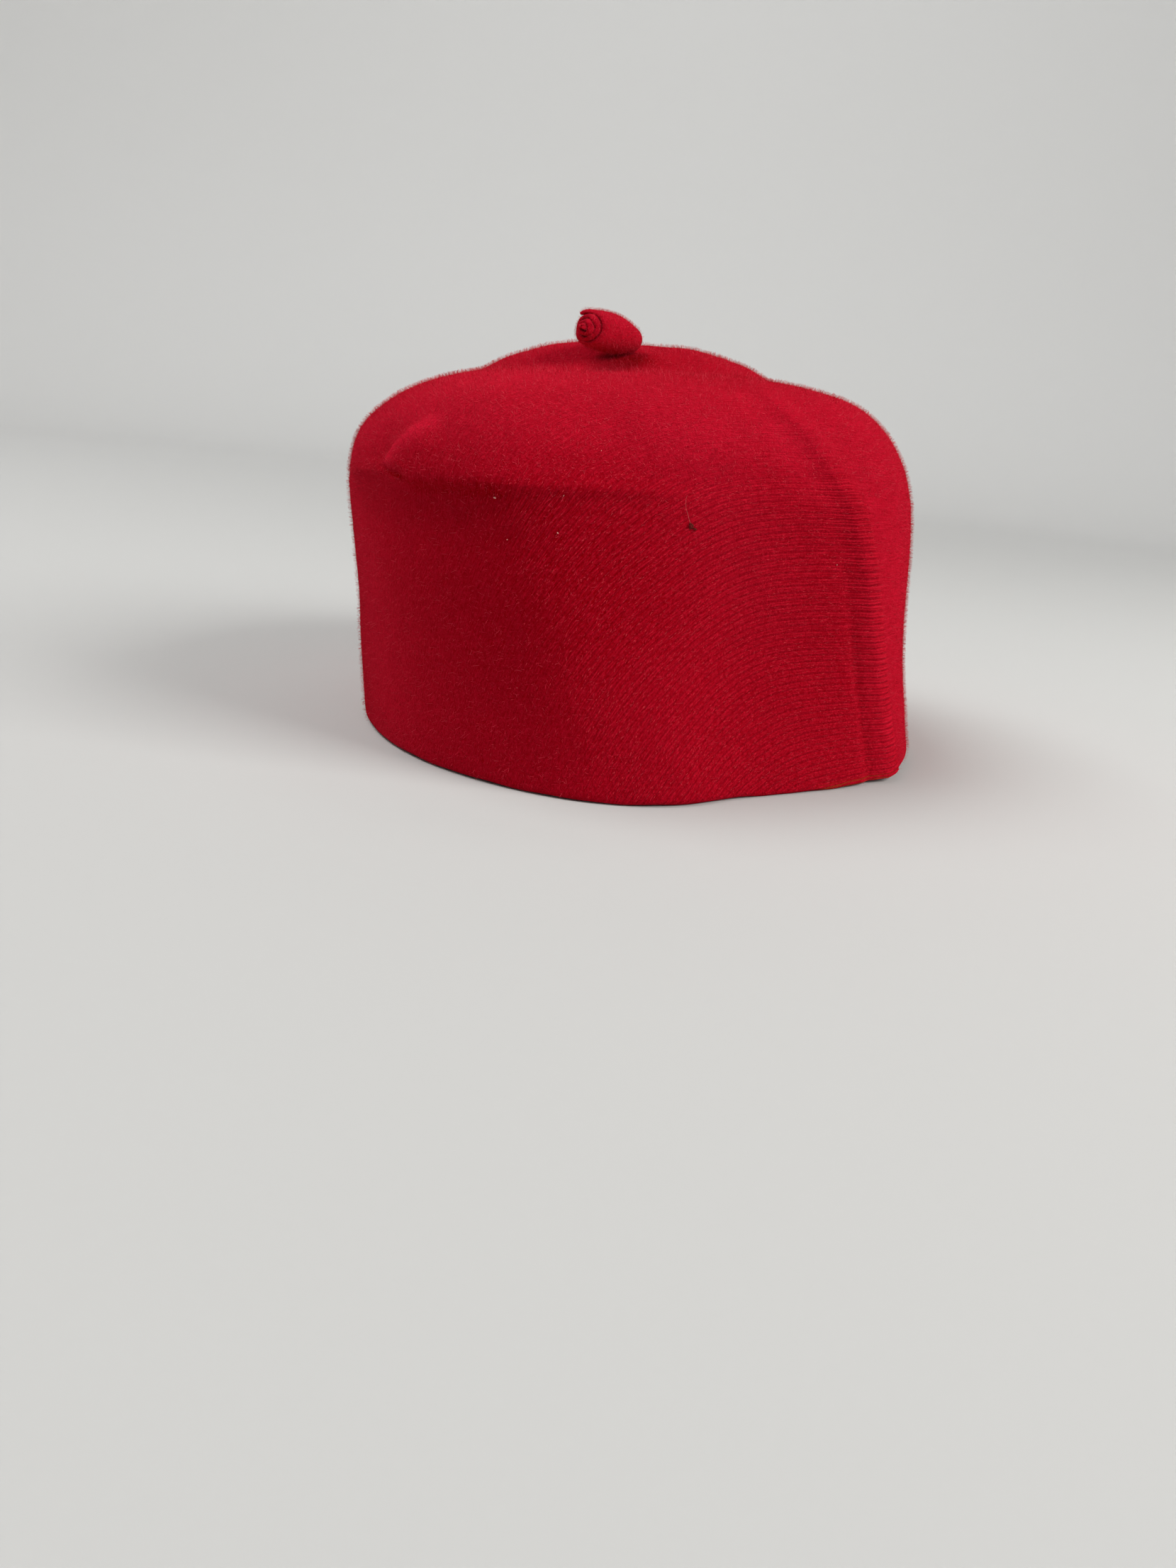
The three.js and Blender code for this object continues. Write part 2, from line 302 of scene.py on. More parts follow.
@dataclass
class CapForm:
    """The cap's outer surface as a rule: the solid's rings, with pressed lines and soft waves over them."""

    oval: float = 0.05
    flat_from: float = -77.0
    flat_to: float = -5.0
    flat_soft_end: float = 0.45
    dip_turn: float = -6.0
    dip_half_width: float = 18.0
    corner_from: float = -22.0
    corner_top: float = 13.0
    corner_to: float = 44.0
    corner_lift: float = 2.0
    corner_height: float = 10.0
    rim_rise: float = 0.14
    waves_from_radius: float = 30.0
    curves: dict[str, SmoothCurve] = field(init=False)

    def __post_init__(self) -> None:
        """Lays a smooth curve through each column of the ring table."""
        names = ("height", "radius", "lift", "back", "side", "flat", "drift", "dip")
        self.curves = {
            name: SmoothCurve(STATIONS, np.array([getattr(ring, name) for ring in CAP_RINGS]))
            for name in names
        }

    def radius(self, station: Array) -> Array:
        """Mean radius of the cap at each station."""
        return self.curves["radius"](np.clip(station, 0.0, APEX))

    def plain(self, turn: Array, station: Array) -> Array:
        """Points of the surface before its pressed lines.

        Args:
            turn: turns in degrees.
            station: stations in millimetres.

        Returns:
            One point for each pair, in millimetres.
        """
        at = {name: curve(np.clip(station, 0.0, APEX)) for name, curve in self.curves.items()}
        angle = np.radians(turn + at["drift"])
        across = 2.0 * (turn - self.flat_from) / (self.flat_to - self.flat_from) - 1.0
        share = np.maximum(0.0, 1.0 - across * across)
        share = share * smooth_step(0.0, 2.0 * self.flat_soft_end, across + 1.0)
        sunk = at["dip"] * np.exp(-(((turn - self.dip_turn) / self.dip_half_width) ** 2))
        reach = at["radius"] * (1.0 - self.oval * np.cos(2.0 * angle)) - at["flat"] * share - sunk
        x = at["side"] + reach * np.sin(angle)
        y = at["back"] - reach * np.cos(angle)
        z = at["height"] + at["lift"] * np.cos(angle)
        return np.stack([x, y, z], axis=-1)

    def tangents(self, turn: Array, station: Array) -> tuple[Array, Array]:
        """Unit directions round the cap and up its profile.

        Args:
            turn: turns in degrees.
            station: stations in millimetres.

        Returns:
            The direction of growing turn and the direction of growing station at each place.
        """
        around = self.plain(turn + PROBE, station) - self.plain(turn - PROBE, station)
        upper = np.minimum(APEX, station + PROBE)
        lower = np.maximum(0.0, station - PROBE)
        up = self.plain(turn, upper) - self.plain(turn, lower)
        return unit(around), unit(up)

    def normal(self, turn: Array, station: Array) -> Array:
        """Outward unit normals of the plain surface, level at the rim and upright at the apex.

        Args:
            turn: turns in degrees.
            station: stations in millimetres.

        Returns:
            One normal for each place.
        """
        around, up = self.tangents(turn, station)
        normal = np.cross(around, up)
        normal[..., 2] = np.where(station <= 0.0, 0.0, normal[..., 2])
        normal[station >= APEX - SHORTEST] = (0.0, 0.0, 1.0)
        return unit(normal)

    def line_height(self, line: PressedLine, turn: Array, station: Array) -> Array:
        """Height of one pressed line at each place, by its distance from the line.

        Args:
            line: the ridge or groove.
            turn: turns in degrees.
            station: stations in millimetres.

        Returns:
            Heights in millimetres, below zero in a groove.
        """
        per_degree = np.radians(np.maximum(self.radius(station), 1.0))
        run_x = (line.to_turn - line.turn) * per_degree
        run_y = line.to_up - line.up
        place_x = (turn - line.turn) * per_degree
        place_y = station - line.up
        run_square = run_x * run_x + run_y * run_y
        share = np.clip((place_x * run_x + place_y * run_y) / run_square, 0.0, 1.0)
        run = np.sqrt(run_square)
        strength = smooth_step(0.0, line.fade, (1.0 - share) * run)
        if line.start_fade > 0.0:
            strength = strength * smooth_step(0.0, line.start_fade, share * run)
        distance = np.hypot(place_x - run_x * share, place_y - run_y * share)
        width = line.half_width
        if line.under_width is not None:
            width = np.where(place_y < run_y * share, line.under_width, line.half_width)
        return line.height * strength * np.exp(-((distance / width) ** 2))

    def relief(self, turn: Array, station: Array) -> Array:
        """Height of all pressed lines and of the felt's soft unevenness at each place.

        Args:
            turn: turns in degrees.
            station: stations in millimetres.

        Returns:
            Heights in millimetres.
        """
        height = sum(self.line_height(line, turn, station) for line in PRESSED_LINES + FINE_LINES)
        waves = sum(wave.at(turn, station) for wave in FELT_WAVES)
        return height + waves * smooth_step(0.0, self.waves_from_radius, self.radius(station))

    def felt(self, turn: Array, station: Array, depth: Array) -> Array:
        """Points of the felt at a depth under its outer surface.

        Args:
            turn: turns in degrees.
            station: stations in millimetres.
            depth: depths in millimetres, below zero for a point that stands proud.

        Returns:
            One point for each place, in millimetres.
        """
        offset = self.relief(turn, station) - depth
        points = self.plain(turn, station) + self.normal(turn, station) * offset[..., None]
        points[..., 2] += self.rim_lift(turn, station)
        return points

    def rim_lift(self, turn: Array, station: Array) -> Array:
        """How far the raw edge is drawn up: a round corner past the crease and a small unevenness elsewhere.

        Args:
            turn: turns in degrees.
            station: stations in millimetres.

        Returns:
            One height in millimetres for each place.
        """
        uneven = self.rim_rise + sum(wave.at(turn, station) for wave in RIM_WAVES)
        rising = smooth_step(self.corner_from, self.corner_top, turn)
        falling = 1.0 - smooth_step(self.corner_top, self.corner_to, turn)
        lift = uneven + self.corner_lift * rising * falling
        return lift * (1.0 - smooth_step(0.0, self.corner_height, station))


# Number of ribs counted up the crease, and how far each rib has come down at a distance from the crease.
RIBS_UP_CREASE = (
    (0.0, 0.0), (20.0, 11.2), (40.0, 22.8), (50.0, 29.1), (60.0, 35.8), (72.0, 44.0),
    (80.0, 49.9), (88.0, 56.4), (96.0, 63.4), (110.0, 76.0), (130.0, 94.0), (APEX, 150.0),
)
RIBS_FROM_CREASE = (
    (0.0, 0.0), (20.0, 0.15), (35.0, 0.7), (45.0, 1.6), (55.0, 3.3), (65.0, 5.7), (75.0, 8.65), (85.0, 12.2),
    (95.0, 16.8), (105.0, 22.4), (115.0, 28.9), (125.0, 36.0), (140.0, 47.5), (160.0, 63.5), (200.0, 96.0),
    (300.0, 177.0),
)


@dataclass
class KnitField:
    """Where the knitted ribs run on the cap, how strongly they show, and how much paler the felt is coloured,
    partly a paler nap and partly painted light and shade.

    The ribs cross the crease level and come down more and more steeply away from it. Each pair of numbers is
    where a change starts and where it ends. covered holds such a pair of stations in each row, and the share
    of the ribs that the nap hides above it.
    """

    form: CapForm
    plain_from: float = 84.0
    plain_to: float = 142.0
    far_side_share: float = 0.32
    far_side_from: float = 2.0
    far_side_to: float = 16.0
    crest_turn: float = -1.2
    crest_drift: float = -1.0
    crest_run: float = 40.0
    crest_arc: tuple[float, float] = (-0.5, 3.5)
    covered: tuple[tuple[float, float, float], ...] = ((66.0, 84.0, 0.6), (82.0, 102.0, 0.4))
    least_radius: float = 20.0
    fewest_ribs: float = 0.2
    steps: int = 800
    pale_crown: tuple[float, float] = (FOLD + 7.0, FOLD + 20.0)
    pale_arc: tuple[float, float] = (0.0, 9.0)
    pale_back: tuple[float, float] = (-170.0, -130.0)
    far_crown_start: tuple[float, float] = (-40.0, -12.0)
    far_crown_end: tuple[float, float] = (60.0, 150.0)
    far_crown_up: tuple[float, float] = (100.0, 122.0)
    far_crown_share: float = 0.8
    up: SmoothCurve = field(init=False)
    down: SmoothCurve = field(init=False)

    def __post_init__(self) -> None:
        """Lays smooth curves through the two rib counts."""
        self.up = SmoothCurve(*np.array(RIBS_UP_CREASE).T)
        self.down = SmoothCurve(*np.array(RIBS_FROM_CREASE).T)

    def crest(self, station: Array) -> Array:
        """Turn of the crease's crest at each station."""
        return self.crest_turn + self.crest_drift * smooth_step(0.0, self.crest_run, station)

    def arc(self, turn: Array, station: Array) -> Array:
        """Distance from the crest round the cap, in millimetres, below zero on the pressed face."""
        return np.radians(turn - self.crest(station)) * self.form.radius(station)

    def turn_at(self, arc: Array, station: Array) -> Array:
        """Turn at a distance from the crest."""
        radius = np.maximum(self.form.radius(station), self.least_radius)
        return self.crest(station) + np.degrees(arc / radius)

    def count(self, arc: Array, station: Array) -> Array:
        """Number of ribs between the rim at the crease and each place."""
        return self.up(station) + self.down(np.abs(arc))

    def station_on(self, rib: Array, arc: Array) -> Array:
        """Station where a rib passes a distance from the crease, below zero under the rim.

        Args:
            rib: the rib's number.
            arc: distances from the crease in millimetres.

        Returns:
            One station for each distance.
        """
        level = rib - self.down(np.abs(arc))
        places = np.linspace(0.0, APEX, self.steps)
        return np.where(level < 0.0, UNDER_RIM, np.interp(level, self.up(places), places))

    def slopes(self, arc: Array, station: Array) -> tuple[Array, Array]:
        """How many ribs are crossed in a millimetre round the cap and in a millimetre up it.

        Args:
            arc: distances from the crease in millimetres.
            station: stations in millimetres.

        Returns:
            The number round the cap and the number up it.
        """
        around = (self.count(arc + PROBE, station) - self.count(arc - PROBE, station)) / (2.0 * PROBE)
        upper = np.minimum(station + PROBE, APEX)
        lower = np.maximum(station - PROBE, 0.0)
        upward = (self.up(upper) - self.up(lower)) / np.maximum(upper - lower, SHORTEST)
        return around, upward

    def spacing(self, arc: Array, station: Array) -> Array:
        """Distance from one rib to the next, in millimetres."""
        around, upward = self.slopes(arc, station)
        return 1.0 / np.maximum(np.hypot(around, upward), self.fewest_ribs)

    def strength(self, arc: Array, station: Array) -> Array:
        """How strongly the ribs show, from 0 to 1.

        Args:
            arc: distances from the crease in millimetres.
            station: stations in millimetres.

        Returns:
            One share for each place.
        """
        near = 1.0 - smooth_step(self.plain_from, self.plain_to, -arc)
        far = self.far_side_share * (1.0 - smooth_step(self.far_side_from, self.far_side_to, arc))
        past_crest = smooth_step(*self.crest_arc, arc)
        bare = 1.0 - sum(share * smooth_step(low, high, station) for low, high, share in self.covered)
        return np.clip((near * (1.0 - past_crest) + far * past_crest) * bare, 0.0, 1.0)

    def paleness(self, turn: Array, station: Array) -> Array:
        """How much paler the felt is coloured: most on the crown and past the crease, partly a paler nap and
        partly painted light, with painted shade behind the dome and painted light and shade in its patches
        and lines.

        Args:
            turn: turns in degrees.
            station: stations in millimetres.

        Returns:
            One share for each place, below zero where painted shade makes the felt deeper than on the plain
            wall.
        """
        crown = smooth_step(*self.pale_crown, station)
        # Painted shade on the crown behind the dome takes away some of its paler colour.
        far_crown = smooth_step(*self.far_crown_start, turn) * (1.0 - smooth_step(*self.far_crown_end, turn))
        behind_dome = far_crown * smooth_step(*self.far_crown_up, station)
        past_crease = smooth_step(*self.pale_arc, self.arc(turn, station))
        unseen = np.minimum(past_crease + 1.0 - smooth_step(*self.pale_back, turn), 1.0)
        plain = np.maximum(crown * (1.0 - self.far_crown_share * behind_dome), unseen * (1.0 - behind_dome))
        patches = sum(patch.at(turn, station) for patch in NAP_AND_PAINTED_LIGHT_PATCHES)
        return plain + patches + sum(self.form.line_height(line, turn, station) for line in PALE_LINES)

    def grain(self, turn: Array, station: Array) -> Array:
        """Unit directions of the ribs on the surface.

        Args:
            turn: turns in degrees.
            station: stations in millimetres.

        Returns:
            One direction for each place.
        """
        around, up = self.form.tangents(turn, station)
        across, upward = self.slopes(self.arc(turn, station), station)
        return unit(around * upward[..., None] - up * across[..., None])


# Meshes and node trees

def outward(points: Array, faces: Sequence[Sequence[int]]) -> list[list[int]]:
    """Turns the faces of a closed mesh outwards.

    Args:
        points: the mesh's points.
        faces: its faces as rows of point numbers.

    Returns:
        The faces, turned over if they pointed inwards.
    """
    volume = 0.0
    for face in faces:
        start = points[face[0]]
        for k in range(1, len(face) - 1):
            volume += float(np.dot(start, np.cross(points[face[k]], points[face[k + 1]])))
    return [list(face) if volume > 0.0 else list(reversed(face)) for face in faces]


def ring_faces(rows: int, columns: int, first: int = 0) -> list[tuple[int, ...]]:
    """Four-sided faces between rows of points that each close to a ring.

    Args:
        rows: number of rows.
        columns: number of points in a row.
        first: number of the first row's first point.

    Returns:
        The faces, row by row.
    """
    faces = []
    for low in range(first, first + (rows - 1) * columns, columns):
        high = low + columns
        for j in range(columns):
            k = (j + 1) % columns
            faces.append((low + j, low + k, high + k, high + j))
    return faces


def mesh_object(name: str, points: Array, faces: Sequence[Sequence[int]],
                edges: Sequence[tuple[int, int]] = ()) -> Object:
    """Makes a smooth mesh object at the origin.

    Args:
        name: name of the object.
        points: points in millimetres.
        faces: faces as rows of point numbers.
        edges: loose edges, where the mesh is made of lines.

    Returns:
        The object, linked to the scene.
    """
    mesh = bpy.data.meshes.new(name)
    mesh.from_pydata((np.asarray(points) * MM).tolist(), list(edges), faces)
    mesh.update()
    mesh.shade_smooth()
    piece = bpy.data.objects.new(name, mesh)
    bpy.context.scene.collection.objects.link(piece)
    return piece


def write_attribute(mesh: Mesh, name: str, values: Array) -> None:
    """Stores one number or direction for each point of a mesh.

    Args:
        mesh: the mesh.
        name: name of the attribute.
        values: one number, or one row of three numbers, for each point.
    """
    kind = "FLOAT" if values.ndim == 1 else "FLOAT_VECTOR"
    field_name = "value" if values.ndim == 1 else "vector"
    attribute = mesh.attributes.get(name) or mesh.attributes.new(name, kind, "POINT")
    attribute.data.foreach_set(field_name, np.ascontiguousarray(values, np.float32).ravel())


def settle(piece: Object) -> None:
    """Ties a finished piece to the cap's body.

    Args:
        piece: the finished piece.
    """
    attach(piece, BODY)
    LOG.info("piece %s: %d faces", piece.name, len(piece.data.polygons))


class NodeWiring:
    """Adds nodes to a tree and feeds their sockets by name."""

    def __init__(self, tree: NodeTree) -> None:
        """Keeps the tree that is wired."""
        self.tree = tree

    @staticmethod
    def socket(sockets: bpy.types.bpy_prop_collection, name: str) -> NodeSocket:
        """First socket of that name that is in use."""
        return next(socket for socket in sockets if socket.name == name and socket.enabled)

    def add(self, kind: str, inputs: Optional[Mapping[str, Setting]] = None, **options: object) -> Node:
        """Adds a node.

        Args:
            kind: the node's type.
            inputs: what goes into its sockets, by name: another node's output, or a value.
            options: the node's own settings, set before its sockets.

        Returns:
            The node.
        """
        node = self.tree.nodes.new(kind)
        for name, value in options.items():
            setattr(node, name, value)
        for name, value in (inputs or {}).items():
            self.feed(self.socket(node.inputs, name), value)
        return node

    def feed(self, target: NodeSocket, value: Setting) -> None:
        """Links an output to a socket, or sets the socket's own value.

        Args:
            target: the socket.
            value: another node's output, or a value.
        """
        if isinstance(value, NodeSocket):
            self.tree.links.new(value, target)
        else:
            target.default_value = value

    def out(self, kind: str, output: str, inputs: Optional[Mapping[str, Setting]] = None,
            **options: object) -> NodeSocket:
        """Adds a node and gives one of its outputs.

        Args:
            kind: the node's type.
            output: name of the output.
            inputs: what goes into its sockets, by name.
            options: the node's own settings.

        Returns:
            The output socket.
        """
        return self.socket(self.add(kind, inputs, **options).outputs, output)

    def feed_all(self, node: Node, settings: Mapping[str, Setting]) -> None:
        """Feeds several sockets of a node by name."""
        for name, value in settings.items():
            self.feed(node.inputs[name], value)

    def math(self, operation: str, first: Setting, second: Setting = 0.0) -> NodeSocket:
        """Adds a math node.

        Args:
            operation: name of the operation.
            first: first operand, an output or a number.
            second: second operand.

        Returns:
            The node's output.
        """
        node = self.add("ShaderNodeMath", operation=operation)
        self.feed(node.inputs[0], first)
        self.feed(node.inputs[1], second)
        return node.outputs[0]

    def scaled(self, value: Setting, factor: float, offset: float) -> NodeSocket:
        """Multiplies a value and adds an offset to it.

        Args:
            value: the value.
            factor: what it is multiplied by.
            offset: what is added.

        Returns:
            The node's output.
        """
        made = self.math("MULTIPLY_ADD", value, factor)
        self.feed(made.node.inputs[2], offset)
        return made

    def mix(self, share: Setting, first: Setting, second: Setting, **options: bool) -> NodeSocket:
        """Mixes two colours.

        Args:
            share: share of the second colour.
            first: the colour at a share of 0.
            second: the colour at a share of 1.
            options: the node's own settings.

        Returns:
            The mixed colour.
        """
        inputs = {"Factor": share, "A": first, "B": second}
        return self.out("ShaderNodeMix", "Result", inputs, data_type="RGBA", blend_type="MIX", **options)

    def ramp(self, share: Setting, first: Colour, last: Colour, *between: tuple[float, Colour]) -> NodeSocket:
        """Colours a value by a ramp.

        Args:
            share: the value, from 0 to 1.
            first: the colour at 0.
            last: the colour at 1.
            between: place and colour of each further stop.

        Returns:
            The colour.
        """
        node = self.add("ShaderNodeValToRGB", {"Fac": share})
        stops = node.color_ramp.elements
        stops[0].color = first
        stops[1].color = last
        for place, colour in between:
            stops.new(place).color = colour
        return node.outputs["Color"]


class PieceTree(NodeWiring):
    """A Geometry Nodes tree with named inputs, which is applied to a piece and leaves a plain mesh."""

    seed_step: ClassVar[float] = 100.0

    def __init__(self, name: str) -> None:
        """Makes the tree with its geometry input and output.

        Args:
            name: the tree's name.
        """
        super().__init__(bpy.data.node_groups.new(name, "GeometryNodeTree"))
        self.tree.interface.new_socket("Geometry", in_out="INPUT", socket_type="NodeSocketGeometry")
        self.tree.interface.new_socket("Geometry", in_out="OUTPUT", socket_type="NodeSocketGeometry")
        self.group_in = self.add("NodeGroupInput")
        self.group_out = self.add("NodeGroupOutput")
        self.identifiers: dict[str, str] = {}

    def named(self, name: str, kind: str) -> NodeSocket:
        """Adds a named input to the tree.

        Args:
            name: the input's name.
            kind: the socket's type without its prefix, such as Float.

        Returns:
            The socket that carries it inside the tree.
        """
        item = self.tree.interface.new_socket(name, in_out="INPUT", socket_type="NodeSocket" + kind)
        self.identifiers[name] = item.identifier
        return self.group_in.outputs[name]

    def attribute(self, name: str, kind: str = "FLOAT") -> NodeSocket:
        """A named attribute of the surface, as a field."""
        return self.out("GeometryNodeInputNamedAttribute", "Attribute", {"Name": name}, data_type=kind)

    def dice(self, low: float, high: float, seed: NodeSocket, throw: int) -> NodeSocket:
        """A random number for each point, from the tree's seed.

        Args:
            low: lowest number.
            high: highest number.
            seed: the tree's seed.
            throw: which of the tree's random numbers this is.

        Returns:
            The number as a field.
        """
        own_seed = self.math("ADD", seed, self.seed_step * throw)
        inputs = {"Min": low, "Max": high, "Seed": own_seed}
        return self.out("FunctionNodeRandomValue", "Value", inputs, data_type="FLOAT")

    def upright(self, normal: NodeSocket) -> NodeSocket:
        """A rotation that stands along a normal."""
        return self.out("FunctionNodeAlignRotationToVector", "Rotation", {"Vector": normal}, axis="Z")

    def turned(self, rotation: NodeSocket, angles: Mapping[str, NodeSocket]) -> NodeSocket:
        """A rotation turned further about its own axes.

        Args:
            rotation: the rotation.
            angles: the angle about each axis, in radians, by the axis's name.

        Returns:
            The new rotation.
        """
        euler = self.out("ShaderNodeCombineXYZ", "Vector", angles)
        twist = self.out("FunctionNodeEulerToRotation", "Rotation", {"Euler": euler})
        inputs = {"Rotation": rotation, "Rotate By": twist}
        return self.out("FunctionNodeRotateRotation", "Rotation", inputs, rotation_space="LOCAL")

    def close(self, geometry: NodeSocket, material: NodeSocket) -> None:
        """Ends the tree: instances made real, and the material set.

        Args:
            geometry: what the tree has made.
            material: the finish.
        """
        real = self.out("GeometryNodeRealizeInstances", "Geometry", {"Geometry": geometry})
        dressed = self.out("GeometryNodeSetMaterial", "Geometry", {"Geometry": real, "Material": material})
        self.feed(self.group_out.inputs["Geometry"], dressed)

    def apply(self, piece: Object, values: Mapping[str, object]) -> None:
        """Runs the tree on a piece and replaces the piece's mesh with the result.

        Args:
            piece: the piece with the tree's starting mesh.
            values: value of each named input.
        """
        modifier = piece.modifiers.new(self.tree.name, "NODES")
        modifier.node_group = self.tree
        for name, value in values.items():
            modifier[self.identifiers[name]] = value
        piece.update_tag()
        depsgraph = bpy.context.evaluated_depsgraph_get()
        made = bpy.data.meshes.new_from_object(
            piece.evaluated_get(depsgraph), preserve_all_data_layers=True, depsgraph=depsgraph
        )
        piece.modifiers.clear()
        made.name = piece.name
        piece.data = made


class TubeTree:
    """Geometry Nodes tree that gives each line of points a round body of its own radius."""

    made: ClassVar[Optional[PieceTree]] = None

    @classmethod
    def shared(cls) -> PieceTree:
        """The tree, built the first time it is asked for.

        Returns:
            The tree, with the number of sides and the finish as its inputs.
        """
        if cls.made is not None:
            return cls.made
        tree = PieceTree("round_strands")
        sides = tree.named("Sides", "Int")
        finish = tree.named("Finish", "Material")
        lines = tree.out("GeometryNodeMeshToCurve", "Curve", {"Mesh": tree.group_in.outputs["Geometry"]})
        ring = tree.out("GeometryNodeCurvePrimitiveCircle", "Curve", {"Resolution": sides, "Radius": 1.0})
        size = tree.attribute("strand_radius")
        strands = tree.out(
            "GeometryNodeCurveToMesh", "Mesh",
            {"Curve": lines, "Profile Curve": ring, "Scale": size, "Fill Caps": True},
        )
        shading = {"Geometry": strands, "Shade Smooth": True}
        tree.close(tree.out("GeometryNodeSetShadeSmooth", "Geometry", shading), finish)
        cls.made = tree
        return tree


# Finishes

def new_material(name: str) -> tuple[Material, NodeWiring, Node]:
    """Makes a material with nodes.

    Args:
        name: the material's name.

    Returns:
        The material, the wiring of its tree and its shader.
    """
    made = bpy.data.materials.new(name)
    made.use_nodes = True
    shader = next(node for node in made.node_tree.nodes if node.type == "BSDF_PRINCIPLED")
    return made, NodeWiring(made.node_tree), shader


@dataclass(frozen=True)
class NoiseKind:
    """A noise, and the band of it that is spread smoothly from a floor up to 1."""

    scale: float
    detail: float
    roughness: float = 0.5
    distortion: float = 0.0
    low: float = 0.0
    high: float = 1.0
    floor: float = 0.0

    def plain(self, wire: NodeWiring, place: NodeSocket) -> NodeSocket:
        """The noise itself.

        Args:
            wire: wiring of the tree that it is added to.
            place: where it is read.

        Returns:
            The noise's output.
        """
        inputs = {
            "Vector": place,
            "Scale": self.scale,
            "Detail": self.detail,
            "Roughness": self.roughness,
            "Distortion": self.distortion,
        }
        return wire.out("ShaderNodeTexNoise", "Fac", inputs)

    def spread(self, wire: NodeWiring, place: NodeSocket) -> NodeSocket:
        """The spread band of the noise.

        Args:
            wire: wiring of the tree that it is added to.
            place: where it is read.

        Returns:
            The output, from the floor up to 1.
        """
        inputs = {
            "Value": self.plain(wire, place),
            "From Min": self.low,
            "From Max": self.high,
            "To Min": self.floor,
        }
        return wire.out("ShaderNodeMapRange", "Result", inputs, interpolation_type="SMOOTHSTEP")


@dataclass(frozen=True)
class FeltTone:
    """Shader node group that the felt finishes share: wool colour, mottling, painted shade between the ribs
    and the height of its fibres.
    """

    name: str = "felt_tone"
    grain_stretch: tuple[float, float, float] = (0.8, 4.2, 1.0)
    streaks: NoiseKind = NoiseKind(1.0, 2.0, 0.55, 0.0, 0.36, 0.7)
    wool: NoiseKind = NoiseKind(1500.0, 3.0, 0.6, 0.6, 0.34, 0.66)
    clumps: NoiseKind = NoiseKind(70.0, 3.0, 0.6)
    patches: NoiseKind = NoiseKind(420.0, 2.0, 0.6, 0.0, 0.36, 0.64, 0.6)
    streak_tone: float = 0.55
    wool_tone: float = 0.45
    pale_tone: float = 0.36
    clump_light: float = 0.14
    least_light: float = 0.93
    valley_power: float = 2.0
    valley_shade: float = 0.24
    valley_depth: float = 0.7
    streak_height: float = 0.45
    wool_height: float = 0.55
    wool_roughness: float = 0.1
    least_roughness: float = 0.86
    sockets: ClassVar[tuple[tuple[str, str, str], ...]] = (
        ("Grain", "INPUT", "Vector"),
        ("Place", "INPUT", "Vector"),
        ("Ribs", "INPUT", "Float"),
        ("Paleness", "INPUT", "Float"),
        ("Deep", "INPUT", "Color"),
        ("Pale", "INPUT", "Color"),
        ("Color", "OUTPUT", "Color"),
        ("Height", "OUTPUT", "Float"),
        ("Roughness", "OUTPUT", "Float"),
    )

    def valley(self, wire: NodeWiring, grain: NodeSocket) -> NodeSocket:
        """How deep a place lies between two ribs.

        Args:
            wire: wiring of the group.
            grain: the place along and across the ribs.

        Returns:
            The depth, 1 in the middle between two ribs.
        """
        across = wire.out("ShaderNodeSeparateXYZ", "Y", {"Vector": grain})
        rib_turn = wire.math("MULTIPLY", across, 2.0 * math.pi)
        wave = wire.scaled(wire.math("COSINE", rib_turn), 0.5, 0.5)
        return wire.math("POWER", wave, self.valley_power)

    def tree(self) -> NodeTree:
        """The group, built the first time it is asked for.

        Returns:
            The shader node tree.
        """
        found = bpy.data.node_groups.get(self.name)
        if found is not None:
            return found
        tree = bpy.data.node_groups.new(self.name, "ShaderNodeTree")
        for name, way, kind in self.sockets:
            tree.interface.new_socket(name, in_out=way, socket_type="NodeSocket" + kind)
        wire = NodeWiring(tree)
        given = wire.add("NodeGroupInput").outputs
        result = wire.add("NodeGroupOutput").inputs

        stretched = wire.add("ShaderNodeVectorMath", operation="MULTIPLY")
        wire.feed(stretched.inputs[0], given["Grain"])
        wire.feed(stretched.inputs[1], self.grain_stretch)
        streak = self.streaks.spread(wire, stretched.outputs["Vector"])
        wool = self.wool.spread(wire, given["Place"])
        clump = self.clumps.plain(wire, given["Place"])
        patch = self.patches.spread(wire, given["Place"])
        between_ribs = wire.math("MULTIPLY", self.valley(wire, given["Grain"]), given["Ribs"])
        sunk = wire.math("MULTIPLY", between_ribs, patch)

        streak_share = wire.math("MULTIPLY", streak, self.streak_tone)
        mottled = wire.math("ADD", streak_share, wire.math("MULTIPLY", wool, self.wool_tone))
        share = wire.math("ADD", mottled, wire.math("MULTIPLY", given["Paleness"], self.pale_tone))
        mixed = wire.mix(share, given["Deep"], given["Pale"], clamp_factor=False, clamp_result=True)
        light = wire.scaled(clump, self.clump_light, self.least_light)
        # Painted shade between the ribs: the colour is darkened in the valleys.
        unshaded = wire.math("SUBTRACT", 1.0, wire.math("MULTIPLY", sunk, self.valley_shade))
        tinted = wire.add("ShaderNodeVectorMath", operation="SCALE")
        wire.feed(tinted.inputs[0], mixed)
        wire.feed(wire.socket(tinted.inputs, "Scale"), wire.math("MULTIPLY", light, unshaded))
        wire.feed(result["Color"], tinted.outputs["Vector"])

        streak_rise = wire.math("MULTIPLY", streak, self.streak_height)
        raised = wire.math("ADD", streak_rise, wire.math("MULTIPLY", wool, self.wool_height))
        height = wire.math("SUBTRACT", raised, wire.math("MULTIPLY", sunk, self.valley_depth))
        wire.feed(result["Height"], height)
        wire.feed(result["Roughness"], wire.scaled(wool, self.wool_roughness, self.least_roughness))
        return tree


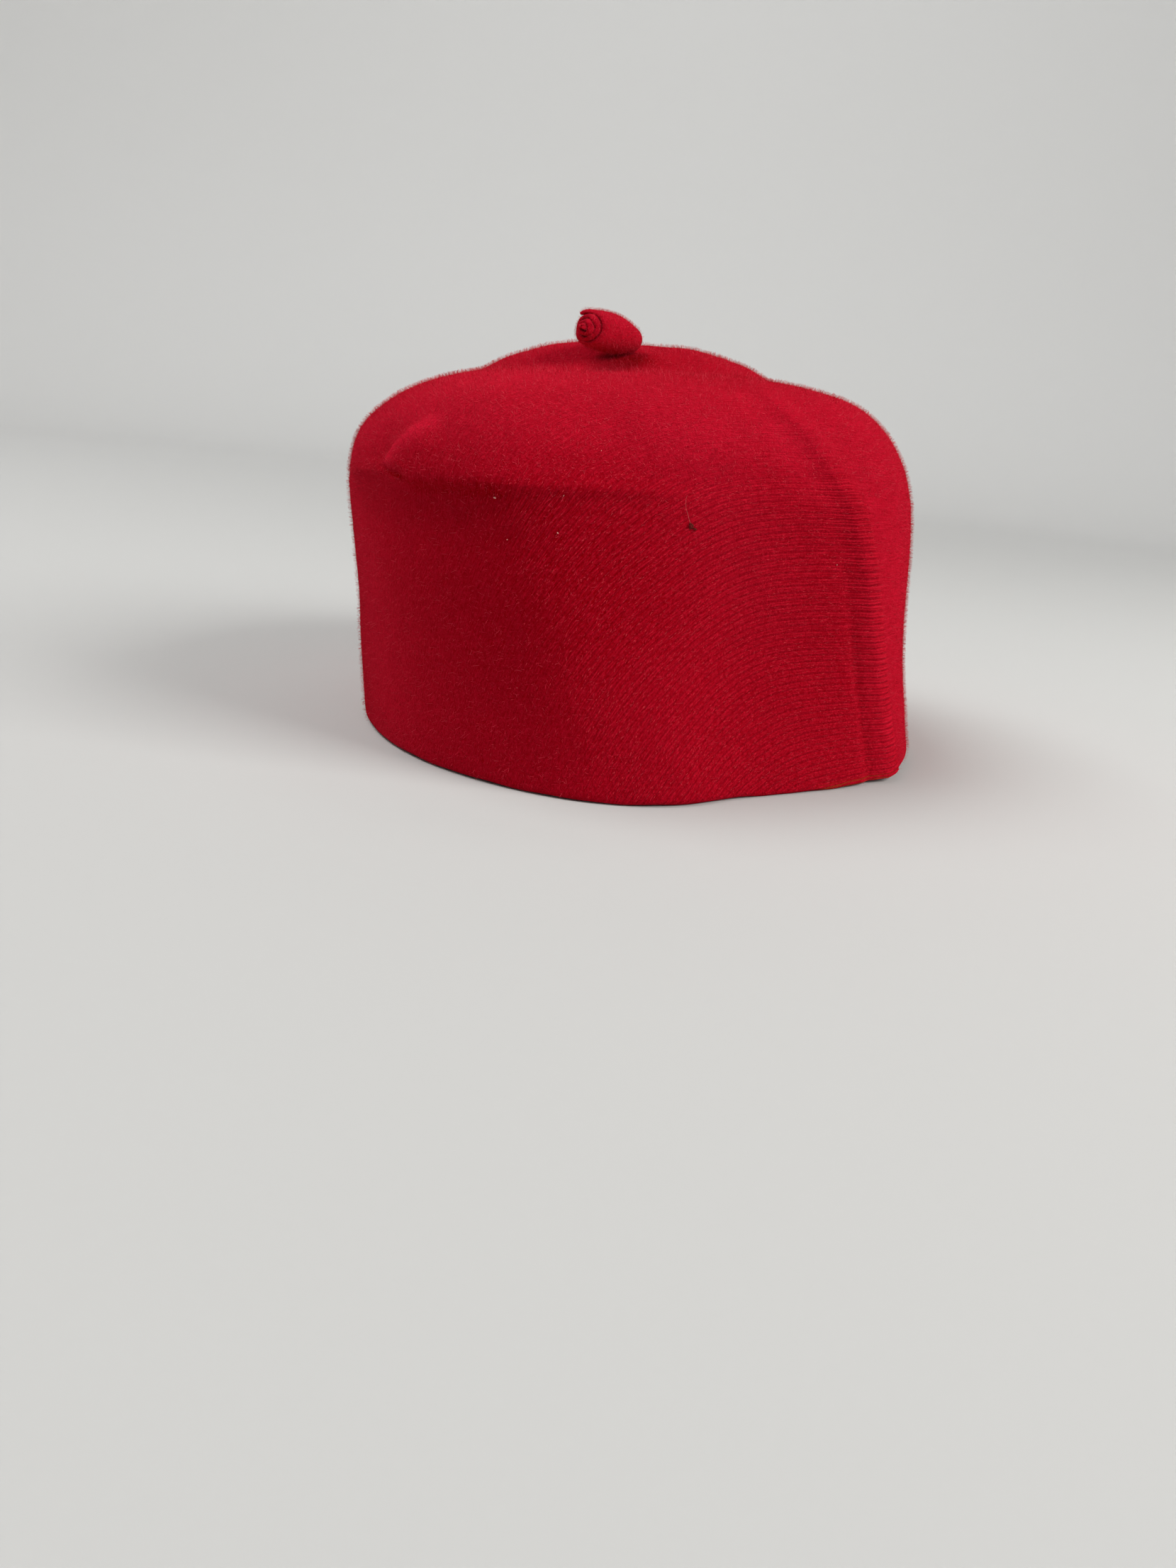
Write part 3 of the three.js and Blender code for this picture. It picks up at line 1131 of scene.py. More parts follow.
@dataclass(frozen=True)
class FeltFinish:
    """Red wool felt that reads the grain stored on its mesh."""

    name: str
    deep: Colour
    pale: Colour
    faded: Colour = (0.46, 0.05, 0.014, 1.0)
    bump_depth: float = 0.0003
    bump_strength: float = 0.75
    specular: float = 0.0
    diffuse_roughness: float = 0.6
    sheen: float = 0.04
    sheen_roughness: float = 0.4
    sheen_tint: Colour = (1.0, 0.3, 0.36, 1.0)

    def material(self) -> Material:
        """Builds the finish.

        Returns:
            The material.
        """
        made, wire, shader = new_material(self.name)
        along, across, ribs, pale, worn = (
            wire.out("ShaderNodeAttribute", "Fac", attribute_name=name)
            for name in ("rib_along", "rib_across", "rib_strength", "paleness", "edge_wear")
        )
        tone_inputs = {
            "Grain": wire.out("ShaderNodeCombineXYZ", "Vector", {"X": along, "Y": across}),
            "Place": wire.out("ShaderNodeTexCoord", "Object"),
            "Ribs": ribs,
            "Paleness": pale,
            "Deep": self.deep,
            "Pale": self.pale,
        }
        tone = wire.add("ShaderNodeGroup", tone_inputs, node_tree=FeltTone().tree())
        bump = wire.out(
            "ShaderNodeBump", "Normal",
            {"Strength": self.bump_strength, "Distance": self.bump_depth, "Height": tone.outputs["Height"]},
        )
        wire.feed_all(shader, {
            "Base Color": wire.mix(worn, tone.outputs["Color"], self.faded),
            "Roughness": tone.outputs["Roughness"],
            "Normal": bump,
            "Specular IOR Level": self.specular,
            "Diffuse Roughness": self.diffuse_roughness,
            "Sheen Weight": self.sheen,
            "Sheen Roughness": self.sheen_roughness,
            "Sheen Tint": self.sheen_tint,
        })
        return made


@dataclass(frozen=True)
class FibreFinish:
    """Loose wool fibres, one shade for each: most near the felt's own red, a few a paler pink that is partly
    pale fibres and partly painted glints of light.
    """

    name: str
    dark: Colour
    light: Colour
    bright: Colour
    bright_from: float = 0.66
    roughness: float = 0.85
    specular: float = 0.0
    diffuse_roughness: float = 0.5

    def material(self) -> Material:
        """Builds the finish.

        Returns:
            The material.
        """
        made, wire, shader = new_material(self.name)
        shade = wire.out("ShaderNodeAttribute", "Fac", attribute_name="fibre_shade")
        wire.feed_all(shader, {
            # The brightest stop is partly pale fibres and partly painted glints.
            "Base Color": wire.ramp(shade, self.dark, self.bright, (self.bright_from, self.light)),
            "Roughness": self.roughness,
            "Specular IOR Level": self.specular,
            "Diffuse Roughness": self.diffuse_roughness,
        })
        return made


@dataclass(frozen=True)
class SpeckFinish:
    """A stray speck of lint or chaff, mottled between two colours."""

    name: str
    first: Colour
    second: Colour
    mottling: NoiseKind = NoiseKind(2600.0, 2.0)
    roughness: float = 0.85
    specular: float = 0.1

    def material(self) -> Material:
        """Builds the finish.

        Returns:
            The material.
        """
        made, wire, shader = new_material(self.name)
        mottled = self.mottling.plain(wire, wire.out("ShaderNodeTexCoord", "Object"))
        wire.feed_all(shader, {
            "Base Color": wire.ramp(mottled, self.first, self.second),
            "Roughness": self.roughness,
            "Specular IOR Level": self.specular,
        })
        return made


@dataclass(frozen=True)
class PaperFinish:
    """The pale matt floor, palest where it has curved up, with distances in metres."""

    name: str
    near: Colour
    far: Colour
    pale_from: float = 0.5
    pale_to: float = 2.6
    roughness: float = 0.9
    specular: float = 0.1

    def material(self) -> Material:
        """Builds the finish.

        Returns:
            The material.
        """
        made, wire, shader = new_material(self.name)
        away = wire.add("ShaderNodeVectorMath", operation="LENGTH")
        wire.feed(away.inputs[0], wire.out("ShaderNodeTexCoord", "Object"))
        run = {"Value": away.outputs["Value"], "From Min": self.pale_from, "From Max": self.pale_to}
        rise = wire.out("ShaderNodeMapRange", "Result", run, interpolation_type="SMOOTHSTEP")
        wire.feed_all(shader, {
            "Base Color": wire.ramp(rise, self.near, self.far),
            "Roughness": self.roughness,
            "Specular IOR Level": self.specular,
        })
        return made


FELT = FeltFinish("red_felt", (0.37, 0.0008, 0.0075, 1.0), (0.55, 0.006, 0.024, 1.0))
# The ribs' pale colour is paler than the shell's: partly the pale fuzz on the ribs and partly painted
# highlights on their tops.
RIB_FELT = FeltFinish("red_felt_ribs", (0.38, 0.0008, 0.0075, 1.0), (0.62, 0.008, 0.028, 1.0))
COMBED_FIBRES = FibreFinish(
    "red_combed_fibres",
    dark=(0.34, 0.001, 0.008, 1.0),
    light=(0.62, 0.01, 0.03, 1.0),
    bright=(0.86, 0.075, 0.1, 1.0),
)
# Paler than the other fibres: painted light on the fuzz where light shines through it at the outline.
FUZZ_FIBRES = FibreFinish(
    "red_fuzz_fibres",
    dark=(0.44, 0.006, 0.02, 1.0),
    light=(0.58, 0.02, 0.045, 1.0),
    bright=(0.7, 0.07, 0.1, 1.0),
)
# A deeper, redder copy of the soft fibres for the near wall's nap, painting its shade and the deeper red of
# light bounced between its ribs.
WALL_FIBRES = FibreFinish(
    "red_wall_fibres",
    dark=(0.34, 0.0015, 0.009, 1.0),
    light=(0.54, 0.008, 0.024, 1.0),
    bright=(0.64, 0.035, 0.058, 1.0),
)
# Pinker than the wall's fibres: partly the crown's nap and partly painted sheen.
SOFT_FIBRES = FibreFinish(
    "red_soft_fibres",
    dark=(0.38, 0.003, 0.014, 1.0),
    light=(0.6, 0.016, 0.04, 1.0),
    bright=(0.74, 0.055, 0.085, 1.0),
)
PALE_LINT = SpeckFinish("pale_lint", (0.6, 0.13, 0.12, 1.0), (0.9, 0.44, 0.4, 1.0))
DARK_BURR = SpeckFinish("dark_burr", (0.05, 0.006, 0.005, 1.0), (0.2, 0.016, 0.014, 1.0))
STRAW = SpeckFinish("stray_hair", (0.45, 0.04, 0.05, 1.0), (0.68, 0.17, 0.17, 1.0))
PAPER = PaperFinish("studio_paper", (0.5, 0.5, 0.49, 1.0), (0.86, 0.86, 0.85, 1.0))


# The felt body

@dataclass
class CapBody:
    """The felt shell: outer face, rounded raw rim and inner face, closed at the crown.

    Each pair of numbers is where a change starts and where it ends. The ribs are stronger beside the crease's
    crest, in their bumps and in the painted shade between them, and the raw edge is worn on one run beside
    it.
    """

    form: CapForm
    knit: KnitField
    thickness: float = 2.4
    row_step: float = 1.4
    fold_row_step: float = 0.65
    inner_rows: int = 22
    rim_steps: int = 6
    sectors: tuple[tuple[float, float, int], ...] = (
        (-180.0, -120.0, 54),
        (-120.0, -24.0, 132),
        (-24.0, 14.0, 76),
        (14.0, 180.0, 146),
    )
    fold_below: float = 3.0
    fold_above: float = 12.0
    inner_top_gap: float = 1.0
    outer_top_gap: float = 0.6
    outside_depth: tuple[float, float] = (0.3, 1.2)
    crest_arc: float = -3.0
    crest_half_width: float = 5.5
    crest_fade: tuple[float, float] = (55.0, 85.0)
    crest_gain: float = 0.6
    worn_start: tuple[float, float] = (-27.0, -17.0)
    worn_end: tuple[float, float] = (-6.0, 1.0)
    worn_height: tuple[float, float] = (0.6, 2.2)
    wear: float = 0.85

    def turns(self) -> Array:
        """Turns of the mesh columns, finest beside the crease."""
        runs = [np.linspace(low, high, count, endpoint=False) for low, high, count in self.sectors]
        return np.concatenate(runs)

    def profile(self) -> tuple[Array, Array]:
        """Places down the inner face, round the rim and up the outer face.

        Returns:
            The station and the depth of each mesh row, from the inner face's top to the outer face's top.
        """
        half = self.thickness / 2.0
        fold_low = FOLD - self.fold_below
        fold_high = FOLD + self.fold_above
        inner = np.linspace(APEX - self.inner_top_gap, half, self.inner_rows, endpoint=False)
        bend = np.linspace(0.0, math.pi, self.rim_steps + 1)
        rim_station = half - half * np.sin(bend)
        rim_depth = half + half * np.cos(bend)
        wall = np.arange(half + self.row_step, fold_low, self.row_step)
        fold = np.arange(fold_low, fold_high, self.fold_row_step)
        crown_rows = int((APEX - fold_high) / self.row_step)
        crown = np.linspace(fold_high, APEX - self.outer_top_gap, crown_rows)
        outer = np.concatenate([wall, fold, crown])
        stations = np.concatenate([inner, rim_station, outer])
        depths = np.concatenate([np.full(inner.shape, self.thickness), rim_depth, np.zeros(outer.shape)])
        return stations, depths

    def store(self, mesh: Mesh, turn: Array, station: Array, depth: Array) -> None:
        """Stores on the shell what its finish and its nap read.

        Args:
            mesh: the shell's mesh.
            turn: turn of each point in degrees.
            station: station of each point in millimetres.
            depth: depth of each point under the outer face, in millimetres.
        """
        outside = 1.0 - smooth_step(*self.outside_depth, depth)
        arc = self.knit.arc(turn, station)
        # Beside the crest the ribs are made stronger, deepening their bumps and the painted shade between
        # them.
        beside_crest = np.exp(-(((arc - self.crest_arc) / self.crest_half_width) ** 2))
        beside_crest = beside_crest * (1.0 - smooth_step(*self.crest_fade, station))
        worn_run = smooth_step(*self.worn_start, turn) * (1.0 - smooth_step(*self.worn_end, turn))
        rim_wear = (1.0 - smooth_step(*self.worn_height, station)) * worn_run
        strength = self.knit.strength(arc, station) * outside
        attributes = {
            "rib_along": np.hypot(arc, station),
            "rib_across": self.knit.count(arc, station),
            "rib_strength": strength * (1.0 + self.crest_gain * beside_crest),
            "edge_wear": self.wear * rim_wear,
            "paleness": self.knit.paleness(turn, station),
            "grain": self.knit.grain(turn, station),
            "outside": outside,
            "turn": turn,
            "station": station,
        }
        for name, values in attributes.items():
            write_attribute(mesh, name, values)

    def build(self) -> Object:
        """Builds the shell and stores the grain on it.

        Returns:
            The shell, without its finish.
        """
        turns = self.turns()
        stations, depths = self.profile()
        columns = len(turns)
        turn_grid, station_grid = np.meshgrid(turns, stations)
        depth_grid = np.broadcast_to(depths[:, None], turn_grid.shape)
        turn = np.concatenate([turn_grid.ravel(), [0.0, 0.0]])
        station = np.concatenate([station_grid.ravel(), [APEX, APEX]])
        depth = np.concatenate([depth_grid.ravel(), [self.thickness, 0.0]])
        inner_top = len(stations) * columns
        outer_top = inner_top + 1
        last = inner_top - columns
        faces = ring_faces(len(stations), columns)
        for j in range(columns):
            k = (j + 1) % columns
            faces.append((k, j, inner_top))
            faces.append((last + j, last + k, outer_top))
        shell = mesh_object("cap_body_felt", self.form.felt(turn, station, depth), faces)
        self.store(shell.data, turn, station, depth)
        return shell

    def dress(self, shell: Object, finish: Material) -> None:
        """Gives the shell its finish and puts it in the solid's place.

        Args:
            shell: the built shell.
            finish: its material.
        """
        shell.data.materials.append(finish)
        settle(shell)
        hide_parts("cap_body")


@dataclass
class KnitRibs:
    """The knitted ribs that stand proud of the felt, each of two strands, fading where the nap covers them.

    wavers holds the size, the run and the share of the phase of each small waver of a strand. The values with
    sunk in their names are how deep a strand lies in the felt, the first two as shares of its radius.
    """

    form: CapForm
    knit: KnitField
    pair_share: float = 0.2
    pair_share_at_crease: float = 0.17
    crease_half_width: float = 9.0
    wavers: tuple[tuple[float, float, float], ...] = ((0.04, 0.31, 1.0), (0.03, 0.83, 2.3))
    last_phase: float = 6.28
    rim_fade: tuple[float, float] = (0.1, 1.4)
    body_share: float = 0.23
    least_body: float = 0.4
    full_strength: float = 0.7
    upper_fulness: tuple[float, float] = (0.9, 1.0)
    lower_fulness: tuple[float, float] = (0.72, 0.88)
    crest_arc: float = -2.0
    crest_half_width: float = 6.0
    crest_evenness: float = 0.6
    crest_swell: float = 0.16
    crest_rise: float = 0.08
    sunk: float = 0.46
    less_sunk_at_crest: float = 0.18
    sunk_where_weak: float = 0.34
    sunk_where_thin: float = 0.12
    last_rib: int = 92
    arc_step: float = 1.45
    weakest: float = 0.06
    fewest_points: int = 4
    unevenness: float = 0.13
    sides: int = 5
    seed: int = 11

    def strand(self, rib: float, side: float, phase: float) -> tuple[Array, Array, Array, Array]:
        """One strand of a rib, where it is on the cap and shows.

        Args:
            rib: the rib's number, counted to its middle.
            side: which of the rib's two strands this is, -1 or 1.
            phase: start of its small waver.

        Returns:
            Distances from the crease, stations, rib counts and strengths along the strand.
        """
        count = int((self.knit.plain_to + self.knit.far_side_to) / self.arc_step)
        arc = np.linspace(-self.knit.plain_to, self.knit.far_side_to, count)
        at_crease = np.exp(-((arc / self.crease_half_width) ** 2))
        pair = self.pair_share + (self.pair_share_at_crease - self.pair_share) * at_crease
        waver = sum(size * np.sin(run * arc + share * phase) for size, run, share in self.wavers)
        number = rib + side * pair + waver
        station = self.knit.station_on(number, arc)
        strength = self.knit.strength(arc, station) * smooth_step(*self.rim_fade, station)
        return arc, station, number, strength

    def build(self, finish: Material) -> Object:
        """Lays every strand as a line and gives it its round body.

        Args:
            finish: the ribs' material.

        Returns:
            The ribs as one mesh.
        """
        dice = np.random.default_rng(self.seed)
        rows = []
        edges = []
        total = 0
        for rib in range(self.last_rib):
            for side in (-1.0, 1.0):
                strand = np.stack(self.strand(rib + 0.5, side, dice.uniform(0.0, self.last_phase)))
                fulness = dice.uniform(*(self.upper_fulness if side > 0.0 else self.lower_fulness))
                shows = np.flatnonzero(strand[3] > self.weakest)
                if len(shows) < self.fewest_points:
                    continue
                cut = strand[:, shows[0]:shows[-1] + 1]
                count = cut.shape[1]
                edges += [(total + k, total + k + 1) for k in range(count - 1)]
                rows.append(np.vstack([cut, np.full(count, fulness)]))
                total += count
        arc, station, number, strength, fulness = np.concatenate(rows, axis=1)
        station = np.maximum(station, 0.0)
        turn = self.knit.turn_at(arc, station)
        body = smooth_step(0.0, self.full_strength, strength)
        at_crest = np.exp(-(((arc - self.crest_arc) / self.crest_half_width) ** 2))
        broken = self.unevenness * (1.0 - self.crest_evenness * at_crest) * dice.uniform(-1.0, 1.0, total)
        shown = self.least_body + (1.0 - self.least_body) * body
        radius = self.body_share * self.knit.spacing(arc, station) * shown * fulness
        radius = radius * (1.0 + broken + self.crest_swell * at_crest)
        depth = radius * (self.sunk - self.less_sunk_at_crest * at_crest) - self.crest_rise * at_crest
        depth = depth + self.sunk_where_weak * (1.0 - body) + self.sunk_where_thin * (1.0 - fulness)
        ribs = mesh_object("cap_ribs", self.form.felt(turn, station, depth), [], edges)
        write_attribute(ribs.data, "strand_radius", radius * MM)
        write_attribute(ribs.data, "rib_along", np.hypot(arc, station))
        write_attribute(ribs.data, "rib_across", number)
        write_attribute(ribs.data, "paleness", self.knit.paleness(turn, station))
        TubeTree.shared().apply(ribs, {"Sides": self.sides, "Finish": finish})
        settle(ribs)
        return ribs


# The nap

class NapZone(Enum):
    """The parts of the outer face that carry a nap piece each."""

    RIBBED = "ribbed"
    WALL_NEAR = "wall_near"
    WALL_FAR = "wall_far"
    CROWN = "crown"


@dataclass(frozen=True)
class NapKind:
    """Sizes of one kind of fibre, in millimetres, and how many of it grow on a square millimetre.

    spread is how far a fibre turns from the grain, in degrees. rim_gap is how far above the raw edge the
    first ones grow.
    """

    density: float
    length: float
    width: float
    rise: float
    spread: float
    segments: int
    seed: int
    rim_gap: float = 0.85


@dataclass
class Nap:
    """Fibres that lie on the felt along its grain or stand up from it."""

    kind: NapKind
    crown_above_fold: float = 4.0
    near_turn: float = -65.0
    near_half_turn: float = 78.0
    ribbed_strength: tuple[float, float] = (0.25, 0.75)
    full_gap: float = 2.6
    held_by_ribs: ClassVar[float] = 0.7
    lean: ClassVar[tuple[float, float]] = (-0.25, 0.1)
    sizes: ClassVar[tuple[float, float]] = (0.55, 1.35)
    taper: ClassVar[float] = 1.6
    bow: ClassVar[float] = 0.5
    lift_power: ClassVar[float] = 0.8
    shared_tree: ClassVar[Optional[PieceTree]] = None

    def zone_mask(self, mesh: Mesh, zone: NapZone) -> Array:
        """Where a zone's fibres grow on the cap.

        Args:
            mesh: the shell, or a copy of it.
            zone: the zone.

        Returns:
            One share for each point.
        """
        count = len(mesh.vertices)
        names = ("outside", "turn", "station", "rib_strength")
        read = {name: np.empty(count, np.float32) for name in names}
        for name, values in read.items():
            mesh.attributes[name].data.foreach_get("value", values)
        crown = read["station"] > FOLD + self.crown_above_fold
        near = np.abs(read["turn"] - self.near_turn) < self.near_half_turn
        ribbed = smooth_step(*self.ribbed_strength, read["rib_strength"])
        masks = {
            NapZone.RIBBED: ribbed,
            NapZone.WALL_NEAR: (near & ~crown) * (1.0 - ribbed),
            NapZone.WALL_FAR: (~near & ~crown) * (1.0 - ribbed),
            NapZone.CROWN: crown * (1.0 - ribbed),
        }
        gap = self.kind.rim_gap
        return read["outside"] * masks[zone] * smooth_step(gap, self.full_gap * gap, read["station"])

    def tree(self) -> PieceTree:
        """The tree that scatters the fibres.

        Returns:
            The tree, with the fibre's sizes, the seed and the finish as its inputs.
        """
        tree = PieceTree("nap_fibres")
        density = tree.named("Density", "Float")
        length = tree.named("Length", "Float")
        width = tree.named("Width", "Float")
        rise = tree.named("Rise", "Float")
        spread = tree.named("Spread", "Float")
        segments = tree.named("Segments", "Int")
        seed = tree.named("Seed", "Int")
        finish = tree.named("Finish", "Material")
        grown = tree.add(
            "GeometryNodeDistributePointsOnFaces",
            {"Mesh": tree.group_in.outputs["Geometry"], "Seed": seed,
             "Density": tree.math("MULTIPLY", density, tree.attribute("nap"))},
        )
        upright = tree.upright(grown.outputs["Normal"])
        combed = tree.out(
            "FunctionNodeAlignRotationToVector", "Rotation",
            {"Rotation": upright, "Vector": tree.attribute("grain", "FLOAT_VECTOR")},
            axis="X", pivot_axis="Z",
        )
        held = tree.math("MULTIPLY", tree.attribute("rib_strength"), self.held_by_ribs)
        drift = tree.math("MULTIPLY", tree.dice(-1.0, 1.0, seed, 1), spread)
        wander = tree.math("MULTIPLY", drift, tree.math("SUBTRACT", 1.0, held))
        flip = tree.math("MULTIPLY", tree.math("ROUND", tree.dice(0.0, 1.0, seed, 2)), math.pi)
        lean = tree.dice(*self.lean, seed, 3)
        planted = tree.out(
            "GeometryNodeInstanceOnPoints", "Instances",
            {"Points": grown.outputs["Points"], "Instance": self.fibre(tree, length, width, rise, segments),
             "Rotation": tree.turned(combed, {"Y": lean, "Z": tree.math("ADD", wander, flip)}),
             "Scale": tree.dice(*self.sizes, seed, 4)},
        )
        shaded = tree.out(
            "GeometryNodeStoreNamedAttribute", "Geometry",
            {"Geometry": planted, "Name": "fibre_shade", "Value": tree.dice(0.0, 1.0, seed, 5)},
            data_type="FLOAT", domain="INSTANCE",
        )
        tree.close(shaded, finish)
        return tree

    def fibre(self, tree: PieceTree, length: NodeSocket, width: NodeSocket, rise: NodeSocket,
              segments: NodeSocket) -> NodeSocket:
        """One fibre: a narrow curved ribbon, pointed at both ends, that lifts towards its tip.

        Args:
            tree: the tree.
            length: the ribbon's length.
            width: its width in the middle.
            rise: how far its tip stands off the surface.
            segments: number of points along it.

        Returns:
            The fibre's geometry.
        """
        strip = tree.out(
            "GeometryNodeMeshGrid", "Mesh",
            {"Size X": length, "Size Y": width, "Vertices X": segments, "Vertices Y": 2},
        )
        position = tree.out("GeometryNodeInputPosition", "Position")
        place = tree.add("ShaderNodeSeparateXYZ", {"Vector": position}).outputs
        run = tree.math("DIVIDE", place["X"], length)
        from_root = tree.math("ADD", run, 0.5)
        narrow = tree.math("SUBTRACT", 1.0, tree.math("MULTIPLY", tree.math("ABSOLUTE", run), self.taper))
        sway = tree.math("MULTIPLY", tree.math("MULTIPLY", tree.math("MULTIPLY", run, run), length), self.bow)
        aside = tree.math("ADD", tree.math("MULTIPLY", place["Y"], narrow), sway)
        height = tree.math("MULTIPLY", tree.math("POWER", from_root, self.lift_power), rise)
        moved = tree.out("ShaderNodeCombineXYZ", "Vector", {"X": place["X"], "Y": aside, "Z": height})
        return tree.out("GeometryNodeSetPosition", "Geometry", {"Geometry": strip, "Position": moved})

    @staticmethod
    def lift_off_floor(mesh: Mesh) -> None:
        """Lays the fibre points that would dip below the rim on the floor.

        Args:
            mesh: the grown fibres.
        """
        place = np.zeros(len(mesh.vertices) * 3)
        mesh.vertices.foreach_get("co", place)
        place[2::3] = np.maximum(place[2::3], 0.0)
        mesh.vertices.foreach_set("co", place)
        mesh.update()

    def grow(self, name: str, source: Mesh, mask: Array, finish: Material) -> Object:
        """Grows the fibres on a surface as one piece.

        Args:
            name: the piece's name.
            source: mesh of the surface, with its grain.
            mask: share of the full density at each of its points.
            finish: the fibres' material.

        Returns:
            The fibres as one mesh.
        """
        surface = source.copy()
        surface.materials.clear()
        write_attribute(surface, "nap", mask)
        piece = bpy.data.objects.new(name, surface)
        bpy.context.scene.collection.objects.link(piece)
        kind = self.kind
        values = {
            "Density": kind.density / (MM * MM),
            "Length": kind.length * MM,
            "Width": kind.width * MM,
            "Rise": kind.rise * MM,
            "Spread": math.radians(kind.spread),
            "Segments": kind.segments,
            "Seed": kind.seed,
            "Finish": finish,
        }
        if Nap.shared_tree is None:
            Nap.shared_tree = self.tree()
        Nap.shared_tree.apply(piece, values)
        self.lift_off_floor(piece.data)
        settle(piece)
        return piece


COMBED_NAP = NapKind(density=2.3, length=0.75, width=0.08, rise=0.14, spread=38.0, segments=3, seed=3)
SOFT_NAP = NapKind(density=1.15, length=0.85, width=0.12, rise=0.22, spread=180.0, segments=3, seed=5)
FUZZ = NapKind(
    density=1.7, length=0.95, width=0.22, rise=0.85, spread=180.0, segments=2, seed=8, rim_gap=0.35
)
ROLL_FUZZ = NapKind(density=5.0, length=0.7, width=0.2, rise=0.6, spread=180.0, segments=2, seed=9)


# The rolled strip

